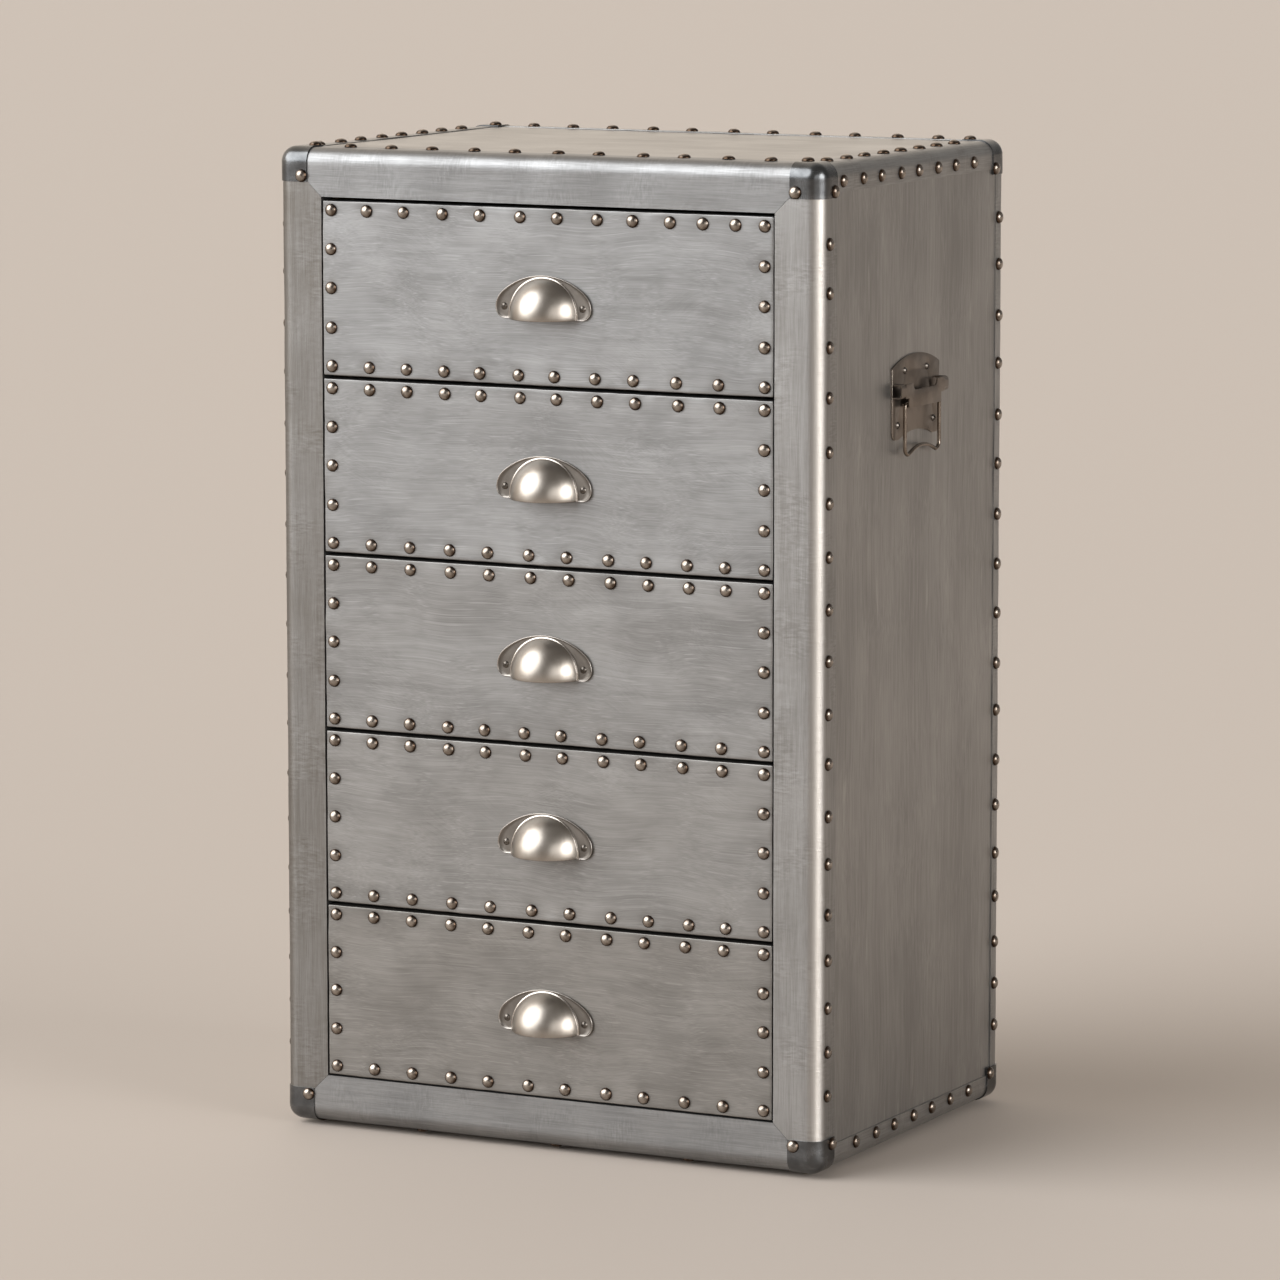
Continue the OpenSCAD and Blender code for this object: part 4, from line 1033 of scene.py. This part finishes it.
def bail(side, name, material):
    """A wire loop: circles carried round its path, square to it."""
    path = bail_path()
    ahead = unit(np.roll(path, -1, axis=0) - np.roll(path, 1, axis=0))
    across = np.stack([ahead[:, 1], -ahead[:, 0]], axis=1)
    turn = np.arange(WIRE_SIDES) * 2 * math.pi / WIRE_SIDES
    flat = path[:, None] + WIRE_R * np.cos(turn)[:, None] * across[:, None]
    out = np.broadcast_to(WIRE_R * np.sin(turn), flat.shape[:2])
    low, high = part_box(name)
    hinge_x = (low[X] + high[X]) / 2
    middle_y, hinge_z = (low[Y] + high[Y]) / 2, high[Z] - WIRE_R
    places = [hinge_x + side * out, middle_y + side * flat[..., 0], hinge_z + flat[..., 1]]
    points = np.stack(places, axis=-1)
    rows = np.concatenate([points, points[:, :1]], axis=1)
    body = name.replace("bail", "handle")
    close_up(piece(f"{name}_wire", body, rows.reshape(-1, 3), ringed(rows), material, [name]))


wire_nickel = satin_nickel("wire_nickel", (0.14, 0.112, 0.088, 1), (0.25, 0.208, 0.17, 1), 0.22, 1.2)
bail(-1, "bail_left", wire_nickel)
bail(1, "bail_right", wire_nickel)


# Floor, light and camera

FLOOR_SIZE = 120.0
FLOOR_COLOUR = (0.47, 0.41, 0.36, 1)
# The sky, from dim on the right to bright at the back left: its colours at shares of the way across
BRIGHT_SIDE = (-0.93, 0.35, 0.1)
SKY = [
    (0.3, (0.2, 0.188, 0.175, 1)),
    (0.45, (0.23, 0.212, 0.196, 1)),
    (0.6, (0.34, 0.33, 0.32, 1)),
    (0.86, (1.0, 0.89, 0.77, 1)),
]
# Where the lights come from: the front left and above, low on the right, and low at the front right
KEY_SIDE = (-0.61, -0.61, 0.51)
RIGHT_SIDE = (0.975, -0.14, 0.175)
LOW_SIDE = (0.727, -0.678, 0.105)
# Each light's name, the way to it, its width in degrees, its radiance and its colour
LIGHTS = [
    ("key_light", KEY_SIDE, 60, 4.75, (0.95, 0.975, 1.0)),
    ("right_light", RIGHT_SIDE, 38, 8.0, (1.0, 1.0, 1.0)),
    ("low_light", LOW_SIDE, 44, 1.6, (1.0, 1.0, 1.0)),
]
# The camera's lens, its place in metres and its turn in degrees, as fitted to the photograph
SENSOR_MM, LENS_MM, LENS_SHIFT, FAR_CLIP = 36, 180.33, -0.0149, 200
CAMERA_PLACE = (2.4495, -4.76505, 1.1588)
CAMERA_TURN = (82.015, 0.03, 27.03)


def floor():
    """A plain pale floor that fills the view."""
    bpy.ops.mesh.primitive_plane_add(size=FLOOR_SIZE)
    plane = bpy.context.object
    plane.name = "floor"
    f = Finish("floor", 0.0)
    plane.data.materials.append(f.close(FLOOR_COLOUR, 0.7))


def disc_light(name, way, width, radiance, colour):
    """A wide soft disc of light a long way off, width degrees across. Its radiance gives its strength."""
    data = bpy.data.lights.new(name, "SUN")
    data.angle = math.radians(width)
    data.energy = radiance * math.pi * math.sin(data.angle / 2) ** 2
    data.color = colour
    lamp = bpy.data.objects.new(name, data)
    bpy.context.scene.collection.objects.link(lamp)
    lamp.rotation_euler = Vector(way).to_track_quat("Z", "Y").to_euler()


def sky():
    """Even studio light, dim on the right and brighter on the left."""
    world = bpy.data.worlds.new("studio")
    bpy.context.scene.world = world
    world.use_nodes = True
    tree = world.node_tree
    way = tree.nodes.new("ShaderNodeTexCoord")
    across = tree.nodes.new("ShaderNodeVectorMath")
    across.operation = "DOT_PRODUCT"
    across.inputs[1].default_value = BRIGHT_SIDE
    share = tree.nodes.new("ShaderNodeMapRange")
    share.inputs["From Min"].default_value = -1.0
    ramp = tree.nodes.new("ShaderNodeValToRGB")
    tree.links.new(way.outputs["Generated"], across.inputs[0])
    tree.links.new(across.outputs["Value"], share.inputs["Value"])
    tree.links.new(share.outputs[0], ramp.inputs[0])
    tree.links.new(ramp.outputs[0], tree.nodes["Background"].inputs["Color"])
    for _ in SKY[2:]:
        ramp.color_ramp.elements.new(0.5)
    for stop, (place, colour) in zip(ramp.color_ramp.elements, SKY):
        stop.position = place
        stop.color = colour


def camera():
    """The photograph's view: a long lens from the front right, a little above the top."""
    data = bpy.data.cameras.new("camera")
    data.sensor_width, data.lens = SENSOR_MM, LENS_MM
    data.shift_x = LENS_SHIFT
    data.clip_end = FAR_CLIP
    view = bpy.data.objects.new("camera", data)
    bpy.context.scene.collection.objects.link(view)
    view.location = CAMERA_PLACE
    view.rotation_euler = [math.radians(angle) for angle in CAMERA_TURN]
    bpy.context.scene.camera = view


floor()
sky()
for light in LIGHTS:
    disc_light(*light)
bpy.context.scene.view_settings.view_transform = "Standard"
camera()
